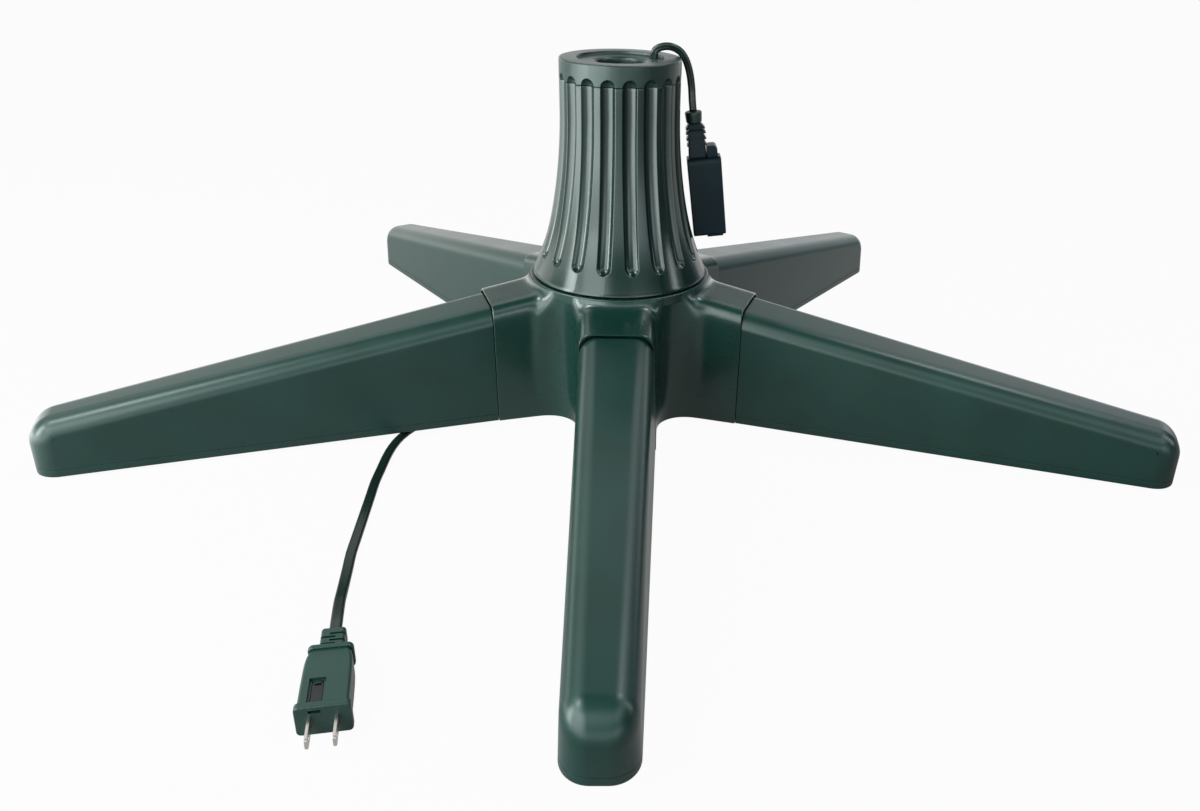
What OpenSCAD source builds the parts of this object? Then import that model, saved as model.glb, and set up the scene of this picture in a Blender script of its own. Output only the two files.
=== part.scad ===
// Rotating stand for a decorated tree: a turning fluted column with a pole socket and an
// in-line outlet, on a hub with five plug-in legs. A geared motor in the hub turns the column.
// Millimetres, +Z up. The origin is on the floor, in the middle of the five-legged footprint.

/* [Column] */
// Height of the column's top face above the floor
column_top_z = 259.7; // [250:0.1:290]
// Outer radius of the column's upper, straight part
column_r = 42.7; // [41:0.1:46]
// Thickness of the column's moulded wall
column_wall = 2.8; // [2:0.1:3.4]
// Height of the turning skirt's lower edge above the floor
skirt_z = 107; // [106:0.1:112]
// Radius of the column's long upper flare
flare_upper_r = 386; // [340:1:430]
// Angle that the upper flare turns through, in degrees
flare_upper_angle = 11.2; // [10.4:0.1:11.8]
// Radius of the column's short lower flare
flare_lower_r = 180; // [165:1:200]
// Angle that the wall reaches at the skirt's edge, in degrees
flare_lower_angle = 26; // [25:0.1:27]
// Number of flutes round the column
flute_count = 18; // [12:1:20]
// Width of a flute
flute_w = 10; // [7:0.1:11]
// Depth of a flute in its middle
flute_depth = 3.3; // [1:0.1:3.5]
// Height of the plain band between the skirt's edge and the flutes
skirt_band_h = 13.1; // [10:0.1:20]

/* [Cap] */
// Height of the cap's outer rim, from the seam to the top face
cap_h = 14.4; // [12:0.1:18]
// Thickness of the cap's top
cap_t = 3; // [2:0.1:4]
// Radius of the recess in the cap's top
cap_recess_r = 30.6; // [29.5:0.1:33]
// Depth of that recess
cap_recess_depth = 2; // [1:0.1:2.5]

/* [Pole socket] */
// Bore radius of the socket that the tree's pole stands in
pole_bore_r = 16.5; // [15:0.1:17]
// Wall of the socket tube
pole_tube_wall = 2.5; // [2:0.1:3]
// Depth of the socket, from the tube's mouth to its floor
pole_socket_depth = 122; // [90:1:126]

/* [Hub] */
// Clear height between the hub's rim and the turning skirt
skirt_gap = 1.8; // [1.5:0.1:3]
// How far the hub's rim stands outside the skirt
hub_rim_out = 1.6; // [1.2:0.1:3]
// Wall thickness of the hub
hub_wall = 4; // [3:0.1:4.6]
// Height of the hub's underside above the floor
hub_floor_gap = 5.8; // [5.4:0.1:8]
// Radius of the hollow between two legs
valley_r = 22; // [20:0.5:23]
// How far a leg stub stands proud of its leg, all round
stub_step = 1; // [0.4:0.1:1.4]
// Diameter of the balls that the column turns on
ball_d = 7; // [6:0.1:7.2]
// Number of balls
ball_count = 18; // [12:1:20]
// Radius of the circle that the balls run on
ball_circle_r = 44; // [43:0.1:45]

/* [Drive] */
// Gear module
gear_module = 1.25; // [1.2:0.01:1.28]
// Teeth on the large gear on the spindle
drive_teeth = 60; // [56:1:60]
// Teeth on the motor's pinion
pinion_teeth = 12; // [12:1:13]
// Face width of the large gear
gear_face = 8; // [6:0.5:9]
// Diameter of the motor's can
motor_d = 49; // [44:0.5:50]
// Height of the motor's can
motor_h = 20; // [16:0.5:21]
// Outer radius of the hollow spindle
spindle_r = 11; // [10.5:0.1:11.4]
// Bore radius of the hollow spindle
spindle_bore_r = 7; // [6:0.1:7.5]

/* [Legs] */
// Distance from the turning axis to a leg's tip
leg_reach = 412.2; // [380:1:440]
// Distance from the turning axis to the seam between hub and leg
leg_seam_r = 102; // [98:1:106]
// Width of a leg at the seam, at its underside
leg_w_seam = 56.2; // [52:0.2:58]
// Width of a leg at its tip, at its underside
leg_w_tip = 38.6; // [34:0.2:42]
// Height of a leg's top at the seam above the floor
leg_top_seam = 91.6; // [89:0.1:92.5]
// Height of a leg's top above the floor, carried on to the tip
leg_top_tip = 38.9; // [34:0.1:44]
// Lean of a leg's side walls, width lost per side for each millimetre of height
leg_draft = 0.038; // [0.02:0.001:0.05]
// Rounding of a leg's two top edges
leg_edge_r = 9.5; // [7:0.1:11]
// Wall thickness of a leg
leg_wall = 2.8; // [2.2:0.1:3.2]
// Height of a leg's bottom cover
leg_cover_h = 5.5; // [4.5:0.1:7]
// Height that a foot pad holds the leg's tip above the floor
pad_stand = 1; // [0.8:0.1:2]
// Length of the tongue that a leg plugs into the hub
tongue_l = 33; // [24:1:34]

/* [Cords and outlets] */
// Width of the flat twin power cord
power_cord_w = 6.7; // [6.2:0.1:6.7]
// Thickness of the power cord
power_cord_t = 3.4; // [3:0.1:3.5]
// Width of the outlet cord
outlet_cord_w = 5.4; // [5:0.1:6]
// Thickness of the outlet cord
outlet_cord_t = 3; // [2.8:0.1:3.3]
// Width of the outlet block
outlet_w = 24.4; // [22:0.1:25]
// Length of the outlet block
outlet_l = 58; // [50:0.5:60]
// Depth of the outlet block
outlet_d = 20; // [16:0.5:22]
// Width of the plug's flanges
plug_w = 26.5; // [23:0.1:28]
// Thickness of the plug's flanges
plug_t = 17; // [15:0.1:19]
// Length of the plug's body with both flanges
plug_body_l = 48.5; // [44:0.5:52]
// Travel of the fuse door in the plug
fuse_door_travel = 7; // [4:0.5:8]

/* [Hidden] */
$fn = 64;

// Clearances: a running fit, a plain clearance between pieces, and the reach of a cutting shape
run_gap = 0.05;
gap = 0.3;
cut = 1;

// The five legs, named as seen from the front
leg_count = 5;
leg_pitch = 360 / leg_count;
front_az = -90;
left_az = front_az - leg_pitch;
right_az = front_az + leg_pitch;
back_right_az = right_az + leg_pitch;
back_left_az = back_right_az + leg_pitch;

// Leg: top and underside as straight lines along the leg, height at distance x from the axis
leg_run = leg_reach - leg_seam_r;
leg_tip_plan_r = 16;
leg_tip_roll_r = 20;
leg_tip_corner = (leg_tip_plan_r - leg_edge_r) * (1 - sqrt(0.5));
function leg_share(x) = (x - leg_seam_r) / leg_run;
function leg_top(x) = leg_top_seam + (leg_top_tip - leg_top_seam) * leg_share(x);
function leg_bottom(x) = hub_floor_gap + (pad_stand - hub_floor_gap) * leg_share(x);
function leg_half_w(x, z) = (leg_w_seam + (leg_w_tip - leg_w_seam) * leg_share(x)) / 2
  - leg_draft * (z - leg_bottom(x));
seam_half_gap = 0.8;
leg_start = leg_seam_r + seam_half_gap;
stub_end = leg_seam_r - seam_half_gap;

// Column profile: straight, then two arcs that flare out to the skirt
flare_mid_z = skirt_z + flare_lower_r * (sin(flare_lower_angle) - sin(flare_upper_angle));
flare_mid_r = column_r + flare_upper_r * (1 - cos(flare_upper_angle));
flare_top_z = flare_mid_z + flare_upper_r * sin(flare_upper_angle);
skirt_r = flare_mid_r + flare_lower_r * (cos(flare_upper_angle) - cos(flare_lower_angle));
cap_seam_z = column_top_z - cap_h;
function column_radius(z) =
  z >= flare_top_z ? column_r
  : z >= flare_mid_z ? column_r + flare_upper_r * (1 - cos(asin((flare_top_z - z) / flare_upper_r)))
  : flare_mid_r + flare_lower_r * (cos(flare_upper_angle)
    - cos(asin(min(sin(flare_lower_angle), sin(flare_upper_angle) + (flare_mid_z - z) / flare_lower_r))));

// Hub: rim, inner drum and the deck that carries the bearing
hub_rim_z = skirt_z - skirt_gap;
hub_r = skirt_r + hub_rim_out;
hub_in_r = hub_r - hub_wall;
deck_t = 3;
race_seat_z = 95;
deck_under_z = race_seat_z - deck_t;
stub_half_w = leg_half_w(stub_end, hub_floor_gap) + stub_step;
valley_at = (valley_r + stub_half_w) / sin(leg_pitch / 2);
valley_join_r = norm([valley_at - valley_r * sin(leg_pitch / 2), valley_r * cos(leg_pitch / 2)]);
socket_half_w = 20;
socket_low_z = hub_floor_gap + leg_cover_h + 1.2;
socket_high_z = leg_top_seam - 7.6;
socket_in_r = stub_end - tongue_l - 1.5;

// Bottom cover, its boss and the lower bushing
cover_t = 3;
cover_top_z = hub_floor_gap + cover_t;
cover_r = hub_in_r - gap;
boss_r = 17;
boss_top_z = cover_top_z + 9;
clip_t = 1.6;
bushing_wall = 2.5;
bushing_r = spindle_r + bushing_wall;
bushing_flange_t = 1.5;
clip_well_r = boss_r - 2.5;
lower_bushing_z = hub_floor_gap + 4.4;
cover_boss_r = 4.5;
cover_boss_at = hub_in_r - cover_boss_r + 0.6;
screw_r = 1.5;
screw_hole_r = 1.7;
screw_head_r = 3;
screw_head_h = 2;

// Gear train: the spindle gear, and the pinion on the motor's shaft
gear_low_z = 45;
gear_distance = gear_module * (drive_teeth + pinion_teeth) / 2;
motor_az = -leg_pitch * 0.75;
motor_low_z = boss_top_z + 2.3;
motor_top_z = motor_low_z + motor_h;
motor_at = hub_in_r - motor_d / 2 - 1.2;
motor_post_at = motor_d / 2 + 8.5;
motor_post_r = 4;
motor_ear_t = 1.6;
motor_ear_w = 12;
motor_shaft_r = 3;
motor_shaft_l = gear_low_z + gear_face + 2 - motor_top_z;

// Ball bearing under the turntable plate
plate_t = 4;
plate_low_z = skirt_z + 0.5;
plate_top_z = plate_low_z + plate_t;
plate_r = column_radius(plate_top_z) - column_wall - 1.2;
ball_r = ball_d / 2;
groove_r = ball_r + 0.1;
race_half_w = 6;
race_gap = 3.1;
ball_z = (race_seat_z + plate_low_z) / 2 - 0.2;
lower_race_top_z = ball_z - race_gap / 2;
upper_race_low_z = ball_z + race_gap / 2;
cage_t = 1.6;
column_screw_at = plate_r - 4.5;
ledge_t = 3.5;
ledge_in_r = column_screw_at - 4.5;

// Slip ring drum on the spindle, with two rings, and the brushes that press on them
drum_low_z = 58;
drum_h = 26;
drum_r = 15.5;
ring_r = 17;
ring_h = 6;
ring_z = [62, 74];
brush_az = 90;
brush_w = 5;
brush_h = 5;
brush_back_r = 32;
holder_front_r = 23;
holder_back_r = 40;
holder_w = 14;

// Spindle from the clip below the lower bushing to the plate
spindle_low_z = hub_floor_gap + 0.8;

// Pole tube, on a foot that is screwed to the turntable plate
tube_r = pole_bore_r + pole_tube_wall;
tube_top_z = column_top_z - cap_recess_depth - cap_t - 2.7;
socket_floor_z = tube_top_z - pole_socket_depth;
socket_floor_t = 3;
foot_r = 30;
foot_t = 3;
foot_screw_at = 25.5;
window_w = 12;

// Outlet block: hangs beside the column, leaning with the flare
outlet_tilt = -6.8;
outlet_top = [61, 16, column_top_z - 70.3];
relief_l = 24.4;
relief_x = -4.8;
collar_h = 8.2;
collar_r = 6.2;
slot_w = 1.9;
slot_h = 8;
slot_depth = 14;
slot_pitch = 18;
outlet_up = [sin(outlet_tilt), 0, cos(outlet_tilt)];
outlet_side = [cos(outlet_tilt), 0, -sin(outlet_tilt)];
collar_top = outlet_top + outlet_side * relief_x + outlet_up * (relief_l + collar_h);

// Outlet cord: route of its free stretch from the cap's hole to the collar, in column coordinates
cap_hole = [23.5, 12];
cap_hole_r = 2.5;
cap_hole_slot = 2.6;
cord_z = column_top_z - 3.7;
outlet_route = concat([
  [23.5, 12, cord_z], [23.5, 12, cord_z + 3], [24, 12, cord_z + 6.5], [26.5, 12, cord_z + 8.7],
  [30.5, 12, cord_z + 10.1], [35, 12.3, cord_z + 10], [39.2, 13, cord_z + 8.2],
  [42.8, 13.7, cord_z + 5.4], [45.8, 14.4, cord_z + 1], [48, 15, cord_z - 4.5],
  [49.6, 15.5, cord_z - 11], [50.8, 16, cord_z - 19]],
  [collar_top + 7 * outlet_up, collar_top]);
outlet_ref = [0.15, 1, 0.1];
lead_route = [
  [0, 0, 70], [0, 0, 80], [0, 0, 95], [0, 0, 108], [2, 0, 114.5], [7, 0, 118.5], [13, 0, 119.5],
  [19, 0.5, 121], [22.7, 3, 126], [24, 7, 135], [23.7, 10.5, 146], [23.5, 12, 160], [23.5, 12, 200],
  [23.5, 12, cord_z - 16], [23.5, 12, cord_z]];

// Plug, lying on the floor: origin at the cord end of its relief, pointing at the blades
plug_at = [-142.5, -314, plug_t / 2];
plug_az = -80;
plug_along = [cos(plug_az), sin(plug_az), 0];
plug_relief_l = 16;
plug_relief_w = 12.5;
plug_relief_t = 10;
plug_flange_t = 3;
plug_flange_inset = 1.9;
plug_end_flange_t = 4.5;
blade_l = 16;
blade_w = 6.35;
blade_t = 1.5;
blade_spacing = 12.7;
blade_root_l = 12.5;
fuse_recess_w = 7.6;
fuse_recess_l = 17.5;
fuse_recess_depth = 1.4;
fuse_y = -3.6;
door_w = 5.4;
door_l = 15;
door_t = 1.2;
fuse_r = 1.8;
fuse_l = 10;

// Power cord: exit at the back of the hub, coil behind the stand, then under hub and left leg
cord_exit_z = 19;
cord_exit_az = 90;
relief_nut_at = hub_in_r - 4;
relief_end = 85;
coil_centre = [0, 195];
coil_in_r = 30.9;
coil_turns = 4 + 146 / 360;
coil_pitch = 7.3;
coil_layer = 4.3;
coil_rings = 24;
coil_low_z = power_cord_t / 2;
function coil_radius(turn) = coil_in_r + coil_pitch * abs(turn - coil_turns / 2);
function coil_height(turn) = coil_low_z
  + coil_layer * min(1, max(0, 0.5 - (turn - coil_turns / 2) / 0.5));
function coil_point(turn) = [
  coil_centre[0] + coil_radius(turn) * cos(360 * turn),
  coil_centre[1] + coil_radius(turn) * sin(360 * turn), coil_height(turn)];
coil_first_along = [0, 1, 0];
coil_last_along = [-sin(360 * coil_turns), cos(360 * coil_turns), 0];
coil_start = coil_point(0) - coil_first_along * power_cord_w;
coil_end = coil_point(coil_turns) + coil_last_along * power_cord_w;
tail_route = concat([
  [0, relief_end, 19], [0, 92, 19], [1, 101, 18.4], [5, 112, 17], [12, 125, 14.6], [22, 139, 12],
  [33, 153, 9.4], [41, 165, 7.4], [45.5, 175, 6.3]],
  [coil_start - coil_first_along * power_cord_w, coil_start]);
run_route = concat([coil_end, coil_end + coil_last_along * power_cord_w], [
  [-52, 202, 1.7], [-58, 188, 1.7], [-63, 172, 1.7], [-66, 155, 1.7],
  [-67, 137, 1.7], [-67, 119, 1.7], [-66, 101, 1.7], [-65, 83, 1.7], [-65, 65, 1.7],
  [-66, 48, 1.7], [-69, 31, 1.7], [-74, 15, 1.7], [-81, 0, 1.7], [-91, -13, 1.7],
  [-103, -24, 1.7], [-116, -33, 1.7], [-130, -42, 1.7], [-142, -52, 1.7], [-151, -64, 1.7],
  [-157, -78, 1.7], [-160, -93, 1.7], [-161, -109, 1.7], [-161, -126, 1.7], [-161, -143, 1.7],
  [-160, -160, 1.7], [-159, -177, 1.7], [-158, -194, 1.7], [-157, -211, 1.7], [-156, -228, 1.7],
  [-154, -244, 2], [-152, -259, 3], [-150, -272, 4.8], [-148, -284, 6.9]],
  [plug_at - 14 * plug_along, plug_at - 7 * plug_along, plug_at]);

// The footprint's middle lies in front of the turning axis, because the legs are an odd number
back_reach = (leg_reach - leg_tip_plan_r) * sin(back_right_az)
  + (leg_w_tip / 2 - leg_tip_plan_r) * cos(back_right_az) + leg_tip_plan_r;
axis_y = (leg_reach - back_reach) / 2;

module on_axis() {
  translate([0, axis_y, 0]) children();
}

module on_motor_axis() {
  rotate([0, 0, motor_az]) translate([gear_distance, 0, 0]) children();
}

module in_plug() {
  translate(plug_at) rotate([0, 0, plug_az]) children();
}

module in_outlet() {
  translate(outlet_top) rotate([0, outlet_tilt, 0]) children();
}

module tube(r, bore, h) {
  difference() {
    cylinder(r = r, h = h);
    translate([0, 0, -cut]) cylinder(r = bore, h = h + 2 * cut);
  }
}

module screw(length) {
  cylinder(r = screw_r, h = length);
  translate([0, 0, -screw_head_h]) cylinder(r = screw_head_r, h = screw_head_h);
}

// ---- Cords: a tube swept through the points of a route

function unit(v) = v / norm(v);
function heading(route, i) =
  unit(route[min(i + 1, len(route) - 1)] - route[max(i - 1, 0)]);
function cord_ring(at, along, ref, half_side, half_up, sides) =
  let (side = unit(cross(ref, along)), up = cross(along, side))
  [for (k = [0:sides - 1]) let (a = 360 * (k + 0.5) / sides)
    at + side * half_side * sign(cos(a)) * pow(abs(cos(a)), 0.7)
       + up * half_up * sign(sin(a)) * pow(abs(sin(a)), 0.7)];

module swept(rings) {
  sides = len(rings[0]);
  count = len(rings);
  walls = [for (i = [0:count - 2], k = [0:sides - 1]) let (n = (k + 1) % sides)
    each [[i * sides + k, i * sides + n, (i + 1) * sides + n],
          [i * sides + k, (i + 1) * sides + n, (i + 1) * sides + k]]];
  low = [for (k = [1:sides - 2]) [0, k + 1, k]];
  high = [for (k = [1:sides - 2])
    [(count - 1) * sides, (count - 1) * sides + k, (count - 1) * sides + k + 1]];
  faces = [for (f = concat(walls, low, high)) [f[2], f[1], f[0]]];
  polyhedron(points = [for (r = rings) each r], faces = faces);
}

module cord(route, ref, half_side, half_up, sides) {
  swept([for (i = [0:len(route) - 1])
    cord_ring(route[i], heading(route, i), ref, half_side, half_up, sides)]);
}

// ---- Gears: involute teeth as one outline

pressure_angle = 20;
tooth_backlash = 0.16;
function involute(base_r, a) = base_r * [cos(a) + a * PI / 180 * sin(a), sin(a) - a * PI / 180 * cos(a)];
function roll_angle(base_r, r) = sqrt(max(0, pow(r / base_r, 2) - 1)) * 180 / PI;
function polar_angle(p) = atan2(p[1], p[0]);
function turned(p, a) = [p[0] * cos(a) - p[1] * sin(a), p[0] * sin(a) + p[1] * cos(a)];
module gear_outline(teeth) {
  pitch_r = gear_module * teeth / 2;
  base_r = pitch_r * cos(pressure_angle);
  tip_r = pitch_r + gear_module * 0.95;
  root_r = pitch_r - gear_module * 1.25;
  steps = 4;
  low_r = max(base_r, root_r);
  half_tooth = 90 / teeth - tooth_backlash / 2 / pitch_r * 180 / PI;
  at_pitch = polar_angle(involute(base_r, roll_angle(base_r, pitch_r)));
  flank = [for (i = [0:steps]) let (r = low_r + (tip_r - low_r) * i / steps)
    turned(involute(base_r, roll_angle(base_r, r)), -half_tooth - at_pitch)];
  root_low = turned([root_r, 0], -half_tooth - at_pitch);
  tooth = concat([root_low], flank,
    [for (i = [0:steps]) let (p = flank[steps - i]) [p[0], -p[1]]], [[root_low[0], -root_low[1]]]);
  polygon([for (t = [0:teeth - 1], p = tooth) turned(p, 360 * t / teeth)]);
}

// ---- Base: hub, cover, motor and bearing

// One section across a leg or stub: a thin slice with two round top edges
module leg_section(x, top, edge_r, grow, sides) {
  slice = 0.02;
  low = leg_bottom(x) - 0.001;
  high_half = leg_half_w(x, top - edge_r) + grow;
  low_half = leg_half_w(x, low) + grow;
  for (s = [-1, 1]) {
    translate([x, s * (high_half - edge_r), top - edge_r]) rotate([0, 90, 0])
      rotate([0, 0, 180 / sides]) cylinder(r = edge_r, h = slice, $fn = sides);
    translate([x, s * (low_half - 1) - 1, low]) cube([slice, 2, 1]);
  }
}

module stub() {
  inner_x = 46;
  top_rise = stub_step + 0.2;
  hull() {
    translate([-0.02, 0, 0]) leg_section(stub_end, leg_top(stub_end) + top_rise, leg_edge_r, stub_step, 24);
    leg_section(inner_x, min(leg_top(inner_x) + top_rise, hub_rim_z - 1), leg_edge_r, stub_step, 24);
  }
}

module hub_body() {
  low = hub_floor_gap;
  difference() {
    rotate_extrude() polygon([
      [0, low], [valley_join_r, low], [valley_join_r, leg_top_seam - 4],
      [hub_r + 1.2, hub_rim_z - 2.2], [hub_r + 0.6, hub_rim_z - 0.7], [hub_r, hub_rim_z], [0, hub_rim_z]]);
    for (i = [0:leg_count - 1]) rotate([0, 0, front_az + leg_pitch * (i + 0.5)])
      translate([valley_at, 0, low - cut]) cylinder(r = valley_r, h = hub_rim_z);
  }
  for (i = [0:leg_count - 1]) rotate([0, 0, front_az + leg_pitch * i]) stub();
}

module hub_shell() {
  color("darkslategray") {
    difference() {
      hub_body();
      translate([0, 0, hub_floor_gap - cut]) cylinder(r = hub_in_r, h = deck_under_z - hub_floor_gap + cut);
      translate([0, 0, race_seat_z]) cylinder(r = hub_in_r, h = hub_rim_z);
      translate([0, 0, deck_under_z - cut]) cylinder(r = bushing_r + run_gap, h = deck_t + 2 * cut);
      for (i = [0:leg_count - 1]) rotate([0, 0, front_az + leg_pitch * i])
        translate([socket_in_r, -socket_half_w, socket_low_z])
          cube([stub_end - socket_in_r + cut, 2 * socket_half_w, socket_high_z - socket_low_z]);
      rotate([0, 0, cord_exit_az]) translate([hub_in_r - cut, 0, cord_exit_z]) rotate([0, 90, 0])
        cylinder(r = 5.6, h = hub_wall + 12);
      rotate([0, 0, cord_exit_az]) translate([hub_r + 0.3, 0, cord_exit_z]) rotate([0, 90, 0])
        cylinder(r = 8.4, h = 12);
    }
    for (i = [0:leg_count - 1]) rotate([0, 0, front_az + leg_pitch * i])
      translate([cover_boss_at, 0, cover_top_z]) difference() {
        cylinder(r = cover_boss_r, h = deck_under_z - cover_top_z + 0.5);
        translate([0, 0, -cut]) cylinder(r = screw_r + run_gap, h = 12 + cut);
      }
    // two lugs under the deck that the brush holder is screwed between
    rotate([0, 0, brush_az]) for (s = [-1, 1])
      translate([holder_front_r + 4, s * (holder_w / 2 + gap + 1.5) - 1.5, deck_under_z - 8])
        cube([10, 3, 8.5]);
  }
}

module hub_bottom_cover() {
  color("darkslategray") {
    difference() {
      union() {
        translate([0, 0, hub_floor_gap]) cylinder(r = cover_r, h = cover_t);
        translate([0, 0, hub_floor_gap]) cylinder(r = boss_r, h = boss_top_z - hub_floor_gap);
      }
      translate([0, 0, hub_floor_gap - cut])
        cylinder(r = clip_well_r, h = lower_bushing_z - hub_floor_gap - 0.4 + cut);
      translate([0, 0, hub_floor_gap]) cylinder(r = bushing_r + run_gap, h = boss_top_z);
      for (i = [0:leg_count - 1]) rotate([0, 0, front_az + leg_pitch * i])
        translate([cover_boss_at, 0, hub_floor_gap]) {
          translate([0, 0, -cut]) cylinder(r = screw_hole_r, h = cover_t + 2 * cut);
          translate([0, 0, -cut]) cylinder(r = screw_head_r + gap, h = screw_head_h - 0.2 + cut);
        }
    }
    // posts that the motor's ears are screwed to
    rotate([0, 0, motor_az]) for (s = [-1, 1])
      translate([motor_at, s * motor_post_at, cover_top_z - 0.5]) difference() {
        cylinder(r = motor_post_r, h = motor_top_z - motor_ear_t - cover_top_z + 0.5);
        translate([0, 0, 5]) cylinder(r = screw_r + run_gap, h = motor_top_z);
      }
  }
}

module cover_screws() {
  color("silver") for (i = [0:leg_count - 1]) rotate([0, 0, front_az + leg_pitch * i])
    translate([cover_boss_at, 0, hub_floor_gap + screw_head_h - 0.2]) screw(10);
}

// The motor sits off the shaft's axis, as geared clock motors do
module motor() {
  color("gray") rotate([0, 0, motor_az]) difference() {
    union() {
      translate([motor_at, 0, motor_low_z]) cylinder(r = motor_d / 2, h = motor_h);
      translate([motor_at - motor_ear_w / 2, -motor_post_at - 5, motor_top_z - motor_ear_t])
        cube([motor_ear_w, 2 * motor_post_at + 10, motor_ear_t]);
      translate([gear_distance, 0, motor_top_z - 0.5]) cylinder(r = 6, h = 3.5);
    }
    translate([gear_distance, 0, motor_low_z + 4]) cylinder(r = motor_shaft_r + run_gap, h = motor_h + 10);
    for (s = [-1, 1]) translate([motor_at, s * motor_post_at, motor_top_z - motor_ear_t - cut])
      cylinder(r = screw_hole_r, h = motor_ear_t + 2 * cut);
  }
}

module motor_screws() {
  color("silver") rotate([0, 0, motor_az]) for (s = [-1, 1])
    translate([motor_at, s * motor_post_at, motor_top_z]) rotate([180, 0, 0]) screw(9);
}

module motor_shaft() {
  color("silver") on_motor_axis() translate([0, 0, motor_low_z + 6])
    cylinder(r = motor_shaft_r, h = motor_h - 6 + motor_shaft_l);
}

module pinion() {
  color("ivory") on_motor_axis() translate([0, 0, gear_low_z - 1]) difference() {
    rotate([0, 0, 180 + 180 / pinion_teeth * ((drive_teeth + 1) % 2)])
      linear_extrude(height = gear_face + 2) gear_outline(pinion_teeth);
    translate([0, 0, -cut]) cylinder(r = motor_shaft_r + 0.01, h = gear_face + 2 + 2 * cut);
  }
}

module upper_bushing() {
  color("khaki") difference() {
    union() {
      translate([0, 0, deck_under_z - 4]) cylinder(r = bushing_r, h = deck_t + 4);
      translate([0, 0, race_seat_z]) cylinder(r = bushing_r + 3, h = bushing_flange_t);
    }
    translate([0, 0, deck_under_z - 4 - cut])
      cylinder(r = spindle_r + run_gap, h = deck_t + bushing_flange_t + 6);
  }
}

module lower_bushing() {
  color("khaki") difference() {
    union() {
      translate([0, 0, lower_bushing_z]) cylinder(r = bushing_r, h = boss_top_z - lower_bushing_z);
      translate([0, 0, boss_top_z]) cylinder(r = bushing_r + 2, h = bushing_flange_t);
    }
    translate([0, 0, lower_bushing_z - cut]) cylinder(r = spindle_r + run_gap, h = 20);
  }
}

module race(low_z, high_z) {
  difference() {
    translate([0, 0, low_z])
      tube(ball_circle_r + race_half_w, ball_circle_r - race_half_w, high_z - low_z);
    translate([0, 0, ball_z]) rotate_extrude() translate([ball_circle_r, 0]) circle(r = groove_r);
  }
}

module lower_race() {
  color("silver") race(race_seat_z, lower_race_top_z);
}

module upper_race() {
  color("silver") race(upper_race_low_z, plate_low_z);
}

module ball_places() {
  for (i = [0:ball_count - 1]) rotate([0, 0, 360 * i / ball_count])
    translate([ball_circle_r, 0, ball_z]) children();
}

module ball_cage() {
  color("ivory") difference() {
    translate([0, 0, ball_z - cage_t / 2])
      tube(ball_circle_r + race_half_w - 0.8, ball_circle_r - race_half_w + 0.8, cage_t);
    ball_places() translate([0, 0, -cut - cage_t]) cylinder(r = ball_r + 0.15, h = 2 * (cage_t + cut));
  }
}

module bearing_balls() {
  color("silver") ball_places() sphere(r = ball_r);
}

module brush_holder() {
  color("dimgray") rotate([0, 0, brush_az]) difference() {
    translate([holder_front_r, -holder_w / 2, drum_low_z + 1])
      cube([holder_back_r - holder_front_r, holder_w, deck_under_z - drum_low_z - 1]);
    for (z = ring_z) translate([holder_front_r - cut, -brush_w / 2 - 0.1, z + (ring_h - brush_h) / 2 - 0.1])
      cube([brush_back_r - holder_front_r + cut, brush_w + 0.2, brush_h + 0.2]);
  }
}

module contact_brushes() {
  color("sienna") rotate([0, 0, brush_az]) for (z = ring_z)
    translate([ring_r + gap, -brush_w / 2, z + (ring_h - brush_h) / 2])
      cube([brush_back_r - ring_r - gap, brush_w, brush_h]);
}

module strain_relief() {
  color("darkslategray") rotate([0, 0, cord_exit_az]) translate([0, 0, cord_exit_z]) rotate([0, 90, 0]) {
    translate([0, 0, relief_nut_at]) cylinder(r = 7.5, h = 2.7);
    translate([0, 0, relief_nut_at + 2.5]) cylinder(r = 5.5, h = hub_r - relief_nut_at - 2);
    translate([0, 0, hub_r + 0.4]) cylinder(r = 8, h = 3);
    translate([0, 0, hub_r + 3.4]) cylinder(r1 = 6.4, r2 = 4.6, h = relief_end - hub_r - 3.4);
  }
}

// Two leads inside the hub: to the motor, and to the brushes
motor_lead_route = [
  [-3, relief_nut_at - 0.2, 19], [-3, 56, 19], [-10, 52, 19.5], [-24, 47, 21], [-38, 34, 23],
  [-46, 16, 24], [-46, -4, 25], [-38, -22, 26],
  [-26, -31, 28], [-14, -31, 29], [-7, -29.8, 29], [-3.8, -29.8, 29]];
brush_lead_route = [
  [3, relief_nut_at - 0.2, 19], [3, 55.5, 19.5], [4, 52, 23], [4, 51, 28], [3, 49.5, 40], [2, 48.5, 54],
  [1, 47, 62], [0, 44, 66.5], [0, 42.4, 67], [0, holder_back_r + 0.2, 67]];
module hub_leads() {
  lead_r = 1.3;
  color("black") {
    cord(motor_lead_route, [0, 0, 1], lead_r, lead_r, 8);
    cord(brush_lead_route, [1, 0, 0], lead_r, lead_r, 8);
  }
}

// ---- Turning column

module column_screw_places() {
  for (i = [0:3]) rotate([0, 0, 45 + 90 * i]) translate([column_screw_at, 0, 0]) children();
}

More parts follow.
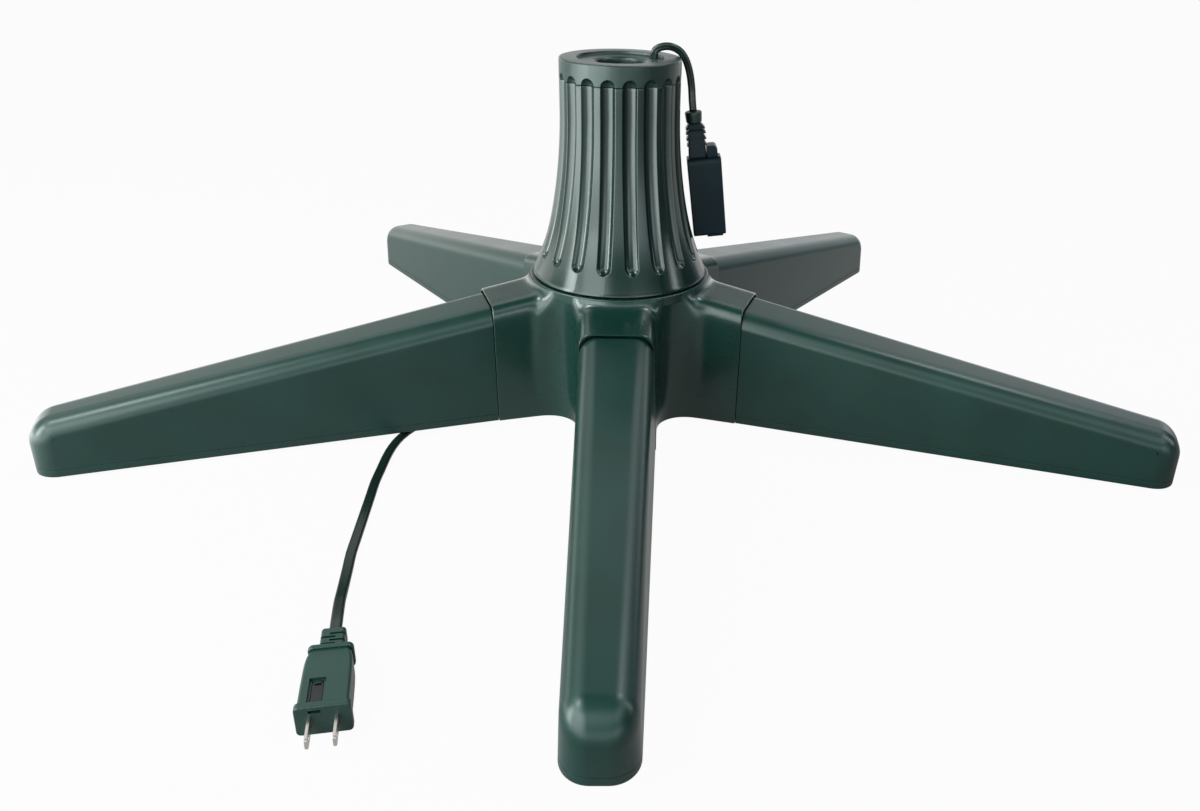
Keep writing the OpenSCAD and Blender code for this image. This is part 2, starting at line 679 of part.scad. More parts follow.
// The column's wall as one skin: rings of points up the outside, then down the inside
flute_half = flute_w / 2;
flute_low_z = skirt_z + skirt_band_h;
flute_sides = 6;
flute_places = [-1, -0.55, 0, 0.55, 1];
function flute_share(z) = let (up = z - flute_low_z)
  up <= 0 ? 0 : up >= flute_half ? 1 : sqrt(1 - pow(1 - up / flute_half, 2));
function fluted_ring(z, inset) =
  let (r = column_radius(z) - inset, share = flute_share(z), half = asin(flute_half / r) * max(share, 0.2))
  [for (i = [0:flute_count - 1], k = [0:flute_sides - 1])
    let (middle = 360 * i / flute_count,
      a = k < 5 ? middle + flute_places[k] * half : middle + 180 / flute_count,
      dip = k < 5 ? flute_depth * share * (1 - pow(flute_places[k], 2)) : 0)
    [(r - dip) * cos(a), (r - dip) * sin(a), z]];
function plain_ring(z, r) = [for (i = [0:flute_count - 1], k = [0:flute_sides - 1])
  let (a = 360 / flute_count * (i + (k - 2) / flute_sides)) [r * cos(a), r * sin(a), z]];
cap_spigot_h = 6;
cap_lap = 4.2;

module column_shell() {
  outer_z = concat([skirt_z, skirt_z + 6, flute_low_z],
    [for (share = [0.12, 0.4, 1]) flute_low_z + flute_half * share],
    [for (i = [1:8]) flute_low_z + flute_half + (cap_seam_z - flute_low_z - flute_half) * pow(i / 8, 1.15)]);
  inner_top_z = cap_seam_z - cap_spigot_h - 1.5;
  inner_low_z = flute_low_z + flute_half + 1;
  inner_z = [for (i = [0:5]) inner_top_z + (inner_low_z - inner_top_z) * i / 5];
  low_plain = [[plate_top_z + ledge_t, ledge_in_r], [plate_top_z, ledge_in_r],
    [plate_top_z, plate_r + gap], [skirt_z, skirt_r - column_wall]];
  rings = concat([for (z = outer_z) fluted_ring(z, 0)],
    [plain_ring(cap_seam_z, column_r - cap_lap), plain_ring(inner_top_z + 1, column_r - cap_lap)],
    [for (z = inner_z) fluted_ring(z, column_wall)],
    [for (p = low_plain) plain_ring(p[0], p[1])]);
  sides = flute_count * flute_sides;
  count = len(rings);
  faces = [for (i = [0:count - 1], k = [0:sides - 1])
    let (n = (k + 1) % sides, j = (i + 1) % count)
    each [[i * sides + k, j * sides + n, i * sides + n], [i * sides + k, j * sides + k, j * sides + n]]];
  color("darkslategray") polyhedron(points = [for (r = rings) each r], faces = faces);
}

module top_cap() {
  seat_z = column_top_z - cap_recess_depth;
  under_z = seat_z - cap_t;
  lip_r = pole_bore_r + 0.7;
  rim_in_r = column_r - cap_lap - 0.2;
  color("darkslategray") difference() {
    rotate_extrude() polygon([
      [column_r, cap_seam_z], [column_r, column_top_z - 0.8], [column_r - 0.8, column_top_z],
      [cap_recess_r, column_top_z], [cap_recess_r, seat_z],
      [lip_r + 2.6, seat_z], [lip_r + 0.9, seat_z - 0.6], [lip_r, seat_z - 2], [lip_r, tube_top_z + 0.1],
      [tube_r + 0.05, tube_top_z + 0.1], [tube_r + 0.05, under_z - 4], [tube_r + 2.2, under_z - 4],
      [tube_r + 2.2, under_z], [rim_in_r - 2.4, under_z],
      [rim_in_r - 2.4, cap_seam_z - cap_spigot_h], [rim_in_r, cap_seam_z - cap_spigot_h],
      [rim_in_r, cap_seam_z]]);
    // oval hole for the outlet cord, long in the direction away from the axis
    translate([cap_hole[0], cap_hole[1], under_z - cut]) rotate([0, 0, atan2(cap_hole[1], cap_hole[0])]) {
      for (s = [-1, 1]) translate([s * cap_hole_slot / 2, 0, 0]) cylinder(r = cap_hole_r, h = cap_t + 2 * cut);
      translate([-cap_hole_slot / 2, -cap_hole_r, 0]) cube([cap_hole_slot, 2 * cap_hole_r, cap_t + 2 * cut]);
    }
    for (i = [0:flute_count - 1]) rotate([0, 0, 360 * i / flute_count])
      translate([column_r - flute_depth + flute_half, 0, cap_seam_z]) sphere(r = flute_half);
  }
}

module pole_tube() {
  chamber_r = pole_bore_r - 2;
  color("darkslategray") difference() {
    union() {
      translate([0, 0, plate_top_z]) cylinder(r = foot_r, h = foot_t);
      translate([0, 0, plate_top_z]) cylinder(r = tube_r, h = tube_top_z - plate_top_z);
    }
    translate([0, 0, socket_floor_z]) cylinder(r = pole_bore_r, h = pole_socket_depth + cut);
    translate([0, 0, plate_top_z - cut])
      cylinder(r = chamber_r, h = socket_floor_z - socket_floor_t - plate_top_z + cut);
    translate([chamber_r - 4, -window_w / 2, plate_top_z + foot_t + 1.5])
      cube([tube_r, window_w, socket_floor_z - socket_floor_t - plate_top_z - foot_t - 3.5]);
    socket_screw_places() translate([0, 0, -cut]) cylinder(r = screw_hole_r, h = foot_t + 2 * cut);
  }
}

module socket_screw_places() {
  for (i = [0:3]) rotate([0, 0, 45 + 90 * i]) translate([foot_screw_at, 0, plate_top_z]) children();
}

module socket_screws() {
  color("silver") socket_screw_places() translate([0, 0, foot_t]) rotate([180, 0, 0])
    screw(foot_t + plate_t - 0.5);
}

module turntable_plate() {
  color("dimgray") difference() {
    union() {
      translate([0, 0, plate_low_z]) cylinder(r = plate_r, h = plate_t);
      translate([0, 0, plate_low_z - 7]) cylinder(r = spindle_r + 5, h = 7.5);
    }
    translate([0, 0, plate_low_z - 7 - cut]) cylinder(r = spindle_r + run_gap, h = plate_t + 7 + 2 * cut);
    column_screw_places() translate([0, 0, plate_low_z - cut])
      cylinder(r = screw_hole_r, h = plate_t + 2 * cut);
    socket_screw_places() translate([0, 0, -plate_t - cut])
      cylinder(r = screw_r + run_gap, h = plate_t + 2 * cut);
  }
}

module column_screws() {
  color("silver") column_screw_places() translate([0, 0, plate_low_z]) screw(plate_t + ledge_t - 0.5);
}

module spindle() {
  color("silver") difference() {
    translate([0, 0, spindle_low_z]) cylinder(r = spindle_r, h = plate_top_z - spindle_low_z);
    translate([0, 0, spindle_low_z - cut])
      cylinder(r = spindle_bore_r, h = plate_top_z - spindle_low_z + 2 * cut);
    translate([0, 0, spindle_low_z + 1.2]) difference() {
      cylinder(r = spindle_r + cut, h = clip_t + 0.2);
      translate([0, 0, -cut]) cylinder(r = spindle_r - 1.2, h = clip_t + 0.2 + 2 * cut);
    }
  }
}

module spindle_clip() {
  color("gray") translate([0, 0, spindle_low_z + 1.3]) difference() {
    tube(clip_well_r - gap, spindle_r - 1.1, clip_t);
    translate([0, -4, -cut]) cube([boss_r, 8, clip_t + 2 * cut]);
  }
}

module drive_gear() {
  color("ivory") difference() {
    union() {
      translate([0, 0, gear_low_z]) linear_extrude(height = gear_face) gear_outline(drive_teeth);
      translate([0, 0, gear_low_z]) cylinder(r = drum_r, h = drum_low_z - gear_low_z);
    }
    translate([0, 0, gear_low_z - cut]) cylinder(r = spindle_r + run_gap, h = 20);
    for (i = [0:5]) rotate([0, 0, 60 * i]) translate([25, 0, gear_low_z - cut])
      cylinder(r = 5.5, h = gear_face + 2 * cut);
  }
}

module slip_ring_drum() {
  color("black") difference() {
    union() {
      translate([0, 0, drum_low_z]) cylinder(r = drum_r, h = drum_h);
      for (z = [drum_low_z, ring_z[0] + ring_h, ring_z[1] - 2.5, ring_z[1] + ring_h])
        translate([0, 0, z]) cylinder(r = ring_r + 2, h = 2.5);
    }
    translate([0, 0, drum_low_z - cut]) cylinder(r = spindle_r + run_gap, h = drum_h + 2 * cut);
  }
}

module slip_rings() {
  color("peru") for (z = ring_z) translate([0, 0, z + 0.1]) tube(ring_r, drum_r + 0.05, ring_h - 0.2);
}

module outlet_lead() {
  color("darkgreen") cord(lead_route, outlet_ref, outlet_cord_w / 2, outlet_cord_t / 2, 8);
}

module outlet_cord() {
  color("darkgreen") cord(outlet_route, outlet_ref, outlet_cord_w / 2, outlet_cord_t / 2, 12);
}

module cord_collar() {
  color("darkslategray") in_outlet() translate([relief_x, 0, relief_l]) {
    cylinder(r1 = collar_r - 0.9, r2 = collar_r, h = 1.8);
    translate([0, 0, 1.8]) cylinder(r = collar_r, h = collar_h - 3);
    translate([0, 0, collar_h - 1.2]) cylinder(r1 = collar_r, r2 = collar_r - 1, h = 1.2);
  }
}

module outlet_block() {
  half_w = outlet_w / 2;
  half_d = outlet_d / 2;
  color("darkslategray") in_outlet() difference() {
    union() {
      translate([-half_w, -half_d, -outlet_l]) cube([outlet_w, outlet_d, outlet_l]);
      translate([3, -half_d + 3, -0.5]) cube([7, outlet_d - 6, 8]);
      translate([relief_x - 5, -4, -0.5]) cube([10, 8, relief_l + 0.5]);
      for (z = [relief_l - 5, relief_l - 10, relief_l - 15])
        translate([relief_x - 6.8, -5, z]) cube([13.6, 10, 2.6]);
      translate([-2, -3, -outlet_l - 1.6]) cube([12, 6, 2]);
    }
    // three pairs of slots in the face turned away from the front
    slot_places() translate([-slot_w / 2, half_d - slot_depth, -slot_h / 2])
      cube([slot_w, slot_depth + cut, slot_h]);
  }
}

module slot_places() {
  for (i = [0:2], s = [-1, 1])
    translate([s * blade_spacing / 2, 0, -outlet_l / 2 + slot_pitch * (i - 1)]) children();
}

module outlet_contacts() {
  contact_t = 3;
  color("peru") in_outlet() slot_places()
    translate([-slot_w / 2 + 0.2, outlet_d / 2 - slot_depth + 0.1, -slot_h / 2 + 0.2])
      cube([slot_w - 0.4, contact_t, slot_h - 0.4]);
}

// ---- Power cord and plug

module power_cord_tail() {
  color("darkgreen") cord(tail_route, [0, 0, 1], power_cord_w / 2, power_cord_t / 2, 12);
}

// Coil: spirals in on the upper layer, climbs down in the half turn at the middle, spirals out below
coil_steps = round(coil_turns * coil_rings);
coil_route = concat([coil_start],
  [for (i = [0:coil_steps]) coil_point(coil_turns * i / coil_steps)], [coil_end]);
function flat_ring(at, along) =
  let (side = unit(cross([0, 0, 1], along)), w = power_cord_w / 2, t = power_cord_t / 2)
  [at + side * w, at + side * w * 0.5 + [0, 0, t], at - side * w * 0.5 + [0, 0, t],
   at - side * w, at - side * w * 0.5 - [0, 0, t], at + side * w * 0.5 - [0, 0, t]];
coil_shape = [for (i = [0:len(coil_route) - 1])
  flat_ring(coil_route[i],
    i < 2 ? coil_first_along : i > len(coil_route) - 3 ? coil_last_along : heading(coil_route, i))];

module power_cord_coil() {
  color("darkgreen") swept(coil_shape);
}

// Least gap between one turn of the coil and the next, on the points of the shape
coil_last = len(coil_shape) - 1;
coil_gap = min([for (i = [0:coil_last], j = [i + coil_rings - 5:min(i + coil_rings + 5, coil_last)],
  p = coil_shape[i], q = coil_shape[min(j, coil_last)]) norm(p - q)]);
echo(coil_least_gap = coil_gap);

module power_cord_run() {
  color("darkgreen") cord(run_route, [0, 0, 1], power_cord_w / 2, power_cord_t / 2, 12);
}

plug_end_at = plug_relief_l + plug_body_l;
plug_body_end_at = plug_end_at - plug_end_flange_t;
plug_front_w = plug_w - 2.4;
plug_front_t = plug_t - 2;
recess_at = plug_body_end_at - fuse_recess_l;
recess_floor_z = plug_front_t / 2 - fuse_recess_depth;
door_gap = 0.1;

// A box that stands centred on the plug's axis, from x over a length
module plug_box(x, l, w, t) {
  translate([x, -w / 2, -t / 2]) cube([l, w, t]);
}

module plug_body() {
  body_at = plug_relief_l + plug_flange_t;
  color("darkslategray") in_plug() difference() {
    union() {
      plug_box(0, plug_relief_l + cut, plug_relief_w - 2, plug_relief_t - 1.6);
      for (i = [0:2]) plug_box(5.6 * i, 3.6, plug_relief_w, plug_relief_t);
      plug_box(plug_relief_l, plug_flange_t, plug_w - 2 * plug_flange_inset, plug_t - plug_flange_inset);
      intersection() {
        plug_box(body_at - 0.5, plug_body_end_at - body_at + 1, plug_front_w, plug_front_t);
        hull() {
          plug_box(body_at - 1, 1, plug_front_w - 7, 2 * plug_front_t);
          plug_box(body_at + 5, 1, plug_front_w - 2.6, 2 * plug_front_t);
          plug_box(body_at + 12, 1, plug_front_w - 0.8, 2 * plug_front_t);
          plug_box(plug_body_end_at, 1, plug_front_w, 2 * plug_front_t);
        }
      }
      plug_box(plug_body_end_at, plug_end_flange_t, plug_w, plug_t);
    }
    // recess for the fuse door, the channel that the door slides into, and the fuse bay below it
    translate([recess_at, fuse_y - fuse_recess_w / 2, recess_floor_z])
      cube([fuse_recess_l - 0.8, fuse_recess_w, fuse_recess_depth + cut]);
    translate([recess_at + 0.8, fuse_y - door_w / 2 - 2 * door_gap, recess_floor_z - door_t - 2 * door_gap])
      cube([door_l + fuse_door_travel + 0.8, door_w + 4 * door_gap, door_t + 4 * door_gap]);
    translate([recess_at + 2, fuse_y - fuse_r - 0.4, recess_floor_z - door_t - 2 * fuse_r - 0.8])
      cube([fuse_l + 2, 2 * fuse_r + 0.8, 2 * fuse_r + 0.8]);
    for (s = [-1, 1]) translate([0, s * blade_spacing / 2, 0])
      plug_box(plug_end_at - blade_root_l, blade_root_l + cut, blade_t, blade_w);
  }
}

module fuse_door() {
  color("black") in_plug() {
    translate([recess_at + 1.2, fuse_y - door_w / 2, recess_floor_z - door_t - door_gap])
      cube([door_l, door_w, door_t]);
    translate([recess_at + 1.6, fuse_y - door_w / 3, recess_floor_z - 2 * door_gap])
      cube([1.6, door_w * 2 / 3, 1]);
  }
}

module plug_fuses() {
  color("silver") in_plug()
    translate([recess_at + 3, fuse_y, recess_floor_z - door_t - 3 * door_gap - fuse_r])
      rotate([0, 90, 0]) cylinder(r = fuse_r, h = fuse_l);
}

module plug_blades() {
  blade_end = plug_end_at + blade_l;
  color("silver") in_plug() for (s = [-1, 1]) translate([0, s * blade_spacing / 2, 0]) difference() {
    plug_box(plug_end_at - blade_root_l, blade_root_l + blade_l, blade_t, blade_w);
    translate([blade_end - 4.6, 0, 0]) rotate([90, 0, 0])
      cylinder(r = 1.6, h = 2 * (blade_t + cut), center = true);
    for (m = [-1, 1]) translate([blade_end, 0, m * blade_w / 2]) rotate([0, m * 45, 0])
      cube([2.6, 4 * blade_t, 2.6], center = true);
  }
}

// ---- Legs, each drawn along +X

module leg_solid(inset, sides) {
  end_x = leg_reach - leg_tip_plan_r;
  end_r = leg_tip_plan_r - inset;
  edge = leg_edge_r - inset;
  roll_x = leg_reach - leg_tip_roll_r;
  hull() {
    translate([inset, 0, 0]) leg_section(leg_start, leg_top(leg_start) - inset, edge, -inset, sides);
    for (s = [-1, 1]) {
      translate([end_x, s * (leg_w_tip / 2 - leg_tip_plan_r), leg_bottom(leg_reach)])
        cylinder(r = end_r, h = 10, $fn = 2 * sides);
      // the top rolls over into the end face
      for (a = [0, 30, 60, 90])
        let (x = roll_x + (leg_tip_roll_r - leg_edge_r - leg_tip_corner) * cos(a),
          y = leg_half_w(x, leg_top_tip - leg_edge_r) - leg_edge_r - leg_tip_corner * cos(a))
          translate([x, s * y, leg_top(roll_x) - leg_tip_roll_r + (leg_tip_roll_r - leg_edge_r) * sin(a)])
            sphere(r = edge, $fn = sides);
    }
  }
}

// Everything below the parting line between a leg and its cover
module below_parting(lift) {
  slope = atan((hub_floor_gap - pad_stand) / leg_run);
  translate([leg_seam_r, -leg_reach / 2, leg_bottom(leg_seam_r) + leg_cover_h + lift])
    rotate([0, slope, 0]) translate([-leg_start, 0, -leg_start])
      cube([leg_start + leg_reach, leg_reach, leg_start]);
}

module leg_shell(az) {
  tongue_half = socket_half_w - gap;
  tongue_low = socket_low_z + gap;
  tongue_high = socket_high_z - gap;
  color("darkslategray") rotate([0, 0, az]) {
    difference() {
      leg_solid(0, 24);
      difference() {
        leg_solid(leg_wall, 12);
        translate([leg_start - cut, -leg_reach / 2, -cut])
          cube([leg_wall + 2 + cut, leg_reach, leg_reach]);
      }
      below_parting(0);
    }
    difference() {
      translate([leg_start - tongue_l, -tongue_half, tongue_low])
        cube([tongue_l + 1, 2 * tongue_half, tongue_high - tongue_low]);
      translate([leg_start - tongue_l - cut, -tongue_half + 3, tongue_low + 3])
        cube([tongue_l + cut, 2 * tongue_half - 6, tongue_high - tongue_low - 6]);
    }
  }
}

pad_r = 9;
pad_h = 3;
pad_at = 22;
module leg_cover(az) {
  color("darkslategray") rotate([0, 0, az]) difference() {
    intersection() {
      leg_solid(0, 24);
      below_parting(-0.1);
    }
    translate([leg_reach - pad_at, 0, -cut]) cylinder(r = pad_r + 0.1, h = pad_h + cut + 0.1);
  }
}

module foot_pad(az) {
  color("black") rotate([0, 0, az]) translate([leg_reach - pad_at, 0, 0]) cylinder(r = pad_r, h = pad_h);
}

on_axis() hub_shell();
on_axis() hub_bottom_cover();
on_axis() cover_screws();
on_axis() motor();
on_axis() motor_screws();
on_axis() upper_bushing();
on_axis() lower_bushing();
on_axis() lower_race();
on_axis() brush_holder();
on_axis() contact_brushes();
on_axis() strain_relief();
on_axis() hub_leads();
on_axis() power_cord_tail();
on_axis() power_cord_coil();
on_axis() power_cord_run();
on_axis() plug_body();
on_axis() plug_blades();
on_axis() plug_fuses();
on_axis() fuse_door();
on_axis() motor_shaft();
on_axis() pinion();
on_axis() ball_cage();
on_axis() bearing_balls();
on_axis() column_shell();
on_axis() top_cap();
on_axis() pole_tube();
on_axis() socket_screws();
on_axis() turntable_plate();
on_axis() column_screws();
on_axis() upper_race();
on_axis() spindle();
on_axis() spindle_clip();
on_axis() drive_gear();
on_axis() slip_ring_drum();
on_axis() slip_rings();
on_axis() outlet_lead();
on_axis() outlet_cord();
on_axis() cord_collar();
on_axis() outlet_block();
on_axis() outlet_contacts();
on_axis() leg_shell(front_az);  // front_leg_shell
on_axis() leg_cover(front_az);  // front_leg_cover
on_axis() foot_pad(front_az);  // front_foot_pad
on_axis() leg_shell(left_az);  // left_leg_shell
on_axis() leg_cover(left_az);  // left_leg_cover
on_axis() foot_pad(left_az);  // left_foot_pad
on_axis() leg_shell(right_az);  // right_leg_shell
on_axis() leg_cover(right_az);  // right_leg_cover
on_axis() foot_pad(right_az);  // right_foot_pad
on_axis() leg_shell(back_right_az);  // back_right_leg_shell
on_axis() leg_cover(back_right_az);  // back_right_leg_cover
on_axis() foot_pad(back_right_az);  // back_right_foot_pad
on_axis() leg_shell(back_left_az);  // back_left_leg_shell
on_axis() leg_cover(back_left_az);  // back_left_leg_cover
on_axis() foot_pad(back_left_az);  // back_left_foot_pad
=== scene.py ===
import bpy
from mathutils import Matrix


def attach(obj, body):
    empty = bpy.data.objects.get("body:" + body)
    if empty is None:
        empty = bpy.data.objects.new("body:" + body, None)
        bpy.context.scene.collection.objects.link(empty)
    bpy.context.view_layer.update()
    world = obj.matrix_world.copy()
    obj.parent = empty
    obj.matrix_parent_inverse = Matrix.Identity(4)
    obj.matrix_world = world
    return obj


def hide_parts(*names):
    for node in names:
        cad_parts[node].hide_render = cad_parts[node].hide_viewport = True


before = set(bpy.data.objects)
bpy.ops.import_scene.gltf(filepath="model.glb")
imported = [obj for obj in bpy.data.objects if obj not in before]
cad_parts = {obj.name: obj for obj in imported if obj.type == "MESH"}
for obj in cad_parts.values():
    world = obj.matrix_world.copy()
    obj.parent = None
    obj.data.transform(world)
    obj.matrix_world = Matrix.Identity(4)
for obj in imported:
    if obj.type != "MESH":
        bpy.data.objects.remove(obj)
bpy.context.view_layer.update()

import math
import bmesh
import bpy
from mathutils import Vector

# ---- The view, the floor and the light
# The stand was photographed from in front and above, on white paper. Soft lamps hang over it on
# both sides and stand at its front left, its left and its right. Patches of the paper glow white
# in the stand's gloss alone: painted reflections, with no lamp or board there.

bpy.ops.object.select_all(action="DESELECT")
bpy.ops.object.camera_add(location=(0.0159, -0.7266, 0.3653), rotation=(1.11028, -0.02623, -0.0241))
camera = bpy.context.object
camera.data.sensor_width = 36
camera.data.lens = 31.658
camera.data.shift_x = -0.0616
camera.data.shift_y = 0.005
camera.data.clip_end = 30
bpy.context.scene.camera = camera
bpy.context.scene.view_settings.view_transform = "Standard"


def material(name, color, roughness, specular=0.5):
    """A plain material to start from."""
    m = bpy.data.materials.new(name)
    m.use_nodes = True
    shader = shader_of(m)
    shader.inputs["Base Color"].default_value = (*color, 1)
    shader.inputs["Roughness"].default_value = roughness
    shader.inputs["Specular IOR Level"].default_value = specular
    return m


def shader_of(m):
    return m.node_tree.nodes["Principled BSDF"]


def node(m, kind, **values):
    """A shader node with its settings and its sockets' values."""
    n = m.node_tree.nodes.new(kind)
    for key, value in values.items():
        if hasattr(n, key):
            setattr(n, key, value)
        else:
            n.inputs[key.replace("_", " ")].default_value = value
    return n


def link(m, out, into):
    m.node_tree.links.new(out, into)


def slope(m, source, start, end, low=0.0, high=1.0):
    """A value that goes from low to high while its source goes from start to end."""
    n = node(m, "ShaderNodeMapRange", From_Min=start, From_Max=end, To_Min=low, To_Max=high)
    link(m, source, n.inputs["Value"])
    return n.outputs["Result"]


def reckon(m, how, *values, clamp=False):
    """Multiplies or adds sockets and numbers."""
    n = node(m, "ShaderNodeMath", operation=how, use_clamp=clamp)
    for socket, value in zip(n.inputs, values):
        if isinstance(value, float):
            socket.default_value = value
        else:
            link(m, value, socket)
    return n.outputs[0]


def blend(m, share, first, second):
    """A mix of two shaders, all second where the share is 1."""
    n = node(m, "ShaderNodeMixShader")
    for socket, value in zip(n.inputs, (share, first, second)):
        link(m, value, socket)
    return n.outputs[0]


bpy.ops.mesh.primitive_plane_add(size=8, location=(0, 0, 0))
floor = bpy.context.object
floor.name = "floor"
paper = material("white_paper", (0.42, 0.42, 0.42), 0.9, 0.0)
paper_white, sheen_gain, reflection_patch_gain = 0.96, 1.4, 6.5
rays = node(paper, "ShaderNodeLightPath").outputs
spot = node(paper, "ShaderNodeTexCoord")
axes = node(paper, "ShaderNodeSeparateXYZ")
link(paper, spot.outputs["Object"], axes.inputs[0])
floor_x, floor_y = axes.outputs["X"], axes.outputs["Y"]

# the paper glows white behind the stand, in a strip in front of it, in a patch to its left and a
# little right under it, but only in the stand's gloss: painted reflections
behind = slope(paper, floor_y, -0.1, 0.7, 0.0, 0.9)
sheen = reckon(paper, "MULTIPLY", slope(paper, floor_y, -0.5, -1.2),
               slope(paper, floor_x, 1.5, -0.4, 0.35))
reflection_patch = reckon(paper, "MULTIPLY", slope(paper, floor_x, -0.35, -0.75),
               slope(paper, floor_y, 0.35, 0.0))
under = reckon(paper, "MULTIPLY", slope(paper, floor_y, -0.4, -0.35, 0.0, 0.38),
               slope(paper, floor_x, 0.35, 0.05))
glowing = behind
for place in (sheen, reflection_patch, under):
    glowing = reckon(paper, "ADD", glowing, place)
mirrored = reckon(paper, "MULTIPLY", glowing, rays["Is Glossy Ray"])
share = reckon(paper, "MULTIPLY_ADD", rays["Is Camera Ray"], paper_white, mirrored, clamp=True)

# seen in the stand's gloss, the strip and the left patch glow brighter than white: painted reflections
strength = 1.0
for place, gain in ((sheen, sheen_gain), (reflection_patch, reflection_patch_gain)):
    seen_there = reckon(paper, "MULTIPLY", place, rays["Is Glossy Ray"])
    strength = reckon(paper, "MULTIPLY_ADD", seen_there, gain, strength)
white = node(paper, "ShaderNodeEmission", Color=(1, 1, 1, 1))
link(paper, strength, white.inputs["Strength"])
link(paper, blend(paper, share, shader_of(paper).outputs[0], white.outputs[0]),
     paper.node_tree.nodes["Material Output"].inputs["Surface"])
floor.data.materials.append(paper)

# in its gloss the stand sees a room that is white low down, dim above that and pale high up, and
# dim on its far right; the room's own light is faint and even, and the camera sees plain white
room = bpy.data.worlds.new("studio")
bpy.context.scene.world = room
room.use_nodes = True
toward = node(room, "ShaderNodeTexCoord")
way = node(room, "ShaderNodeSeparateXYZ")
link(room, toward.outputs["Generated"], way.inputs[0])
by_height = (
    (0.15, 1, 1, 1), (0.31, 0.15, 0.15, 0.15), (0.45, 0.22, 0.22, 0.22), (0.65, 0.75, 0.75, 0.75),
    (0.79, 0.75, 0.75, 0.75), (0.92, 0.06, 0.06, 0.06))
by_side = (
    (0.25, 0.96, 0.96, 0.94), (0.425, 0.6, 0.6, 0.6), (0.575, 0.56, 0.56, 0.57),
    (0.71, 0.95, 0.98, 1), (0.84, 0.6, 0.64, 0.68), (0.91, 0.04, 0.055, 0.07))


def shades(m, source, stops):
    """Colours that follow one another along a value. A stop is a place and a colour."""
    ramp = node(m, "ShaderNodeValToRGB")
    for k, (place, *color) in enumerate(stops):
        stop = ramp.color_ramp.elements[0] if k == 0 else ramp.color_ramp.elements.new(place)
        stop.position, stop.color = place, (*color, 1)
    ramp.color_ramp.elements.remove(ramp.color_ramp.elements[-1])
    link(m, source, ramp.inputs["Fac"])
    return ramp.outputs["Color"]


depth = slope(room, way.outputs["Y"], -0.5, 0.2, 1.5, 1.0)
glow = reckon(room, "MULTIPLY", depth, shades(room, way.outputs["Z"], by_height))
glow_there = node(room, "ShaderNodeVectorMath", operation="SCALE")
link(room, shades(room, slope(room, way.outputs["X"], -1, 1), by_side), glow_there.inputs[0])
link(room, glow, glow_there.inputs["Scale"])
ray = node(room, "ShaderNodeLightPath").outputs
dimmed = node(room, "ShaderNodeBackground", Strength=0.1)
mirror = node(room, "ShaderNodeBackground", Strength=2.5)
plain_white = node(room, "ShaderNodeBackground", Strength=1.0)
plain_white.inputs["Color"].default_value = (1, 1, 1, 1)
link(room, glow_there.outputs[0], mirror.inputs["Color"])
around = blend(room, ray["Is Glossy Ray"], dimmed.outputs[0], mirror.outputs[0])
link(room, blend(room, ray["Is Camera Ray"], around, plain_white.outputs[0]),
     room.node_tree.nodes["World Output"].inputs["Surface"])


def lamp(name, at, toward, size, power):
    bpy.ops.object.light_add(type="AREA", location=at)
    o = bpy.context.object
    o.name = name
    o.rotation_euler = (Vector(toward) - Vector(at)).to_track_quat("-Z", "Y").to_euler()
    o.data.shape = "RECTANGLE"
    o.data.size, o.data.size_y = size
    o.data.energy = power


lamp("lamp_over", (-1.0, -0.45, 1.6), (0, 0, 0.1), (0.45, 0.45), 12)
lamp("lamp_over_right", (0.75, 0.25, 1.6), (0, 0, 0.1), (0.4, 0.4), 5)
lamp("lamp_front", (-0.76, -1.12, 0.7), (0, 0, 0.15), (0.9, 0.9), 12)
lamp("lamp_left", (-1.5, -0.6, 0.55), (0, 0, 0.12), (0.42, 0.9), 17)
lamp("lamp_right", (1.5, -0.2, 0.8), (0, 0, 0.1), (0.2, 1.0), 4)

# ---- Power cord
# A flat twin lead, 6.7 x 3.4 mm, in a dark green sheath. It leaves the hub at the back through
# the strain relief; its unseen length is wound behind the stand, then it runs under the hub and
# the left leg to the plug.

AXIS_Y = 0.036864


def moulded(name, color, roughness, tiny, size, scuff=0.0):
    """Satin moulded plastic: an even colour with slight clouding, a fine skin and handling marks."""
    uneven, pale_mark = 0.14, (0.13, 0.17, 0.16, 1)
    m = material(name, color, roughness)
    shader = shader_of(m).inputs
    shader["Specular Tint"].default_value = (0.88, 1, 0.98, 1)
    place = node(m, "ShaderNodeTexCoord")
    cloud = node(m, "ShaderNodeTexNoise", Scale=28.0, Detail=3.0)
    skin = node(m, "ShaderNodeTexNoise", Scale=size, Detail=2.0)
    for n in (cloud, skin):
        link(m, place.outputs["Object"], n.inputs["Vector"])
    tint = node(m, "ShaderNodeValToRGB")
    for stop, at, change in zip(tint.color_ramp.elements, (0.3, 0.7), (1 - uneven, 1 + uneven)):
        stop.position, stop.color = at, (*[c * change for c in color], 1)
    link(m, cloud.outputs["Fac"], tint.inputs["Fac"])
    if scuff:
        rub = node(m, "ShaderNodeTexNoise", Scale=42.0, Detail=12.0, Roughness=0.72)
        paler = node(m, "ShaderNodeMix", data_type="RGBA")
        share, first, second = paler.inputs[0], paler.inputs[6], paler.inputs[7]
        second.default_value = pale_mark
        link(m, place.outputs["Object"], rub.inputs["Vector"])
        link(m, slope(m, rub.outputs["Fac"], 0.7, 0.78, 0.0, scuff), share)
        link(m, tint.outputs["Color"], first)
        link(m, paler.outputs[2], shader["Base Color"])
    else:
        link(m, tint.outputs["Color"], shader["Base Color"])
    shine = slope(m, cloud.outputs["Fac"], 0.0, 1.0, roughness - 0.04, roughness + 0.05)
    link(m, shine, shader["Roughness"])
    bump = node(m, "ShaderNodeBump", Strength=tiny, Distance=0.0002)
    link(m, skin.outputs["Fac"], bump.inputs["Height"])
    link(m, bump.outputs["Normal"], shader["Normal"])
    return m


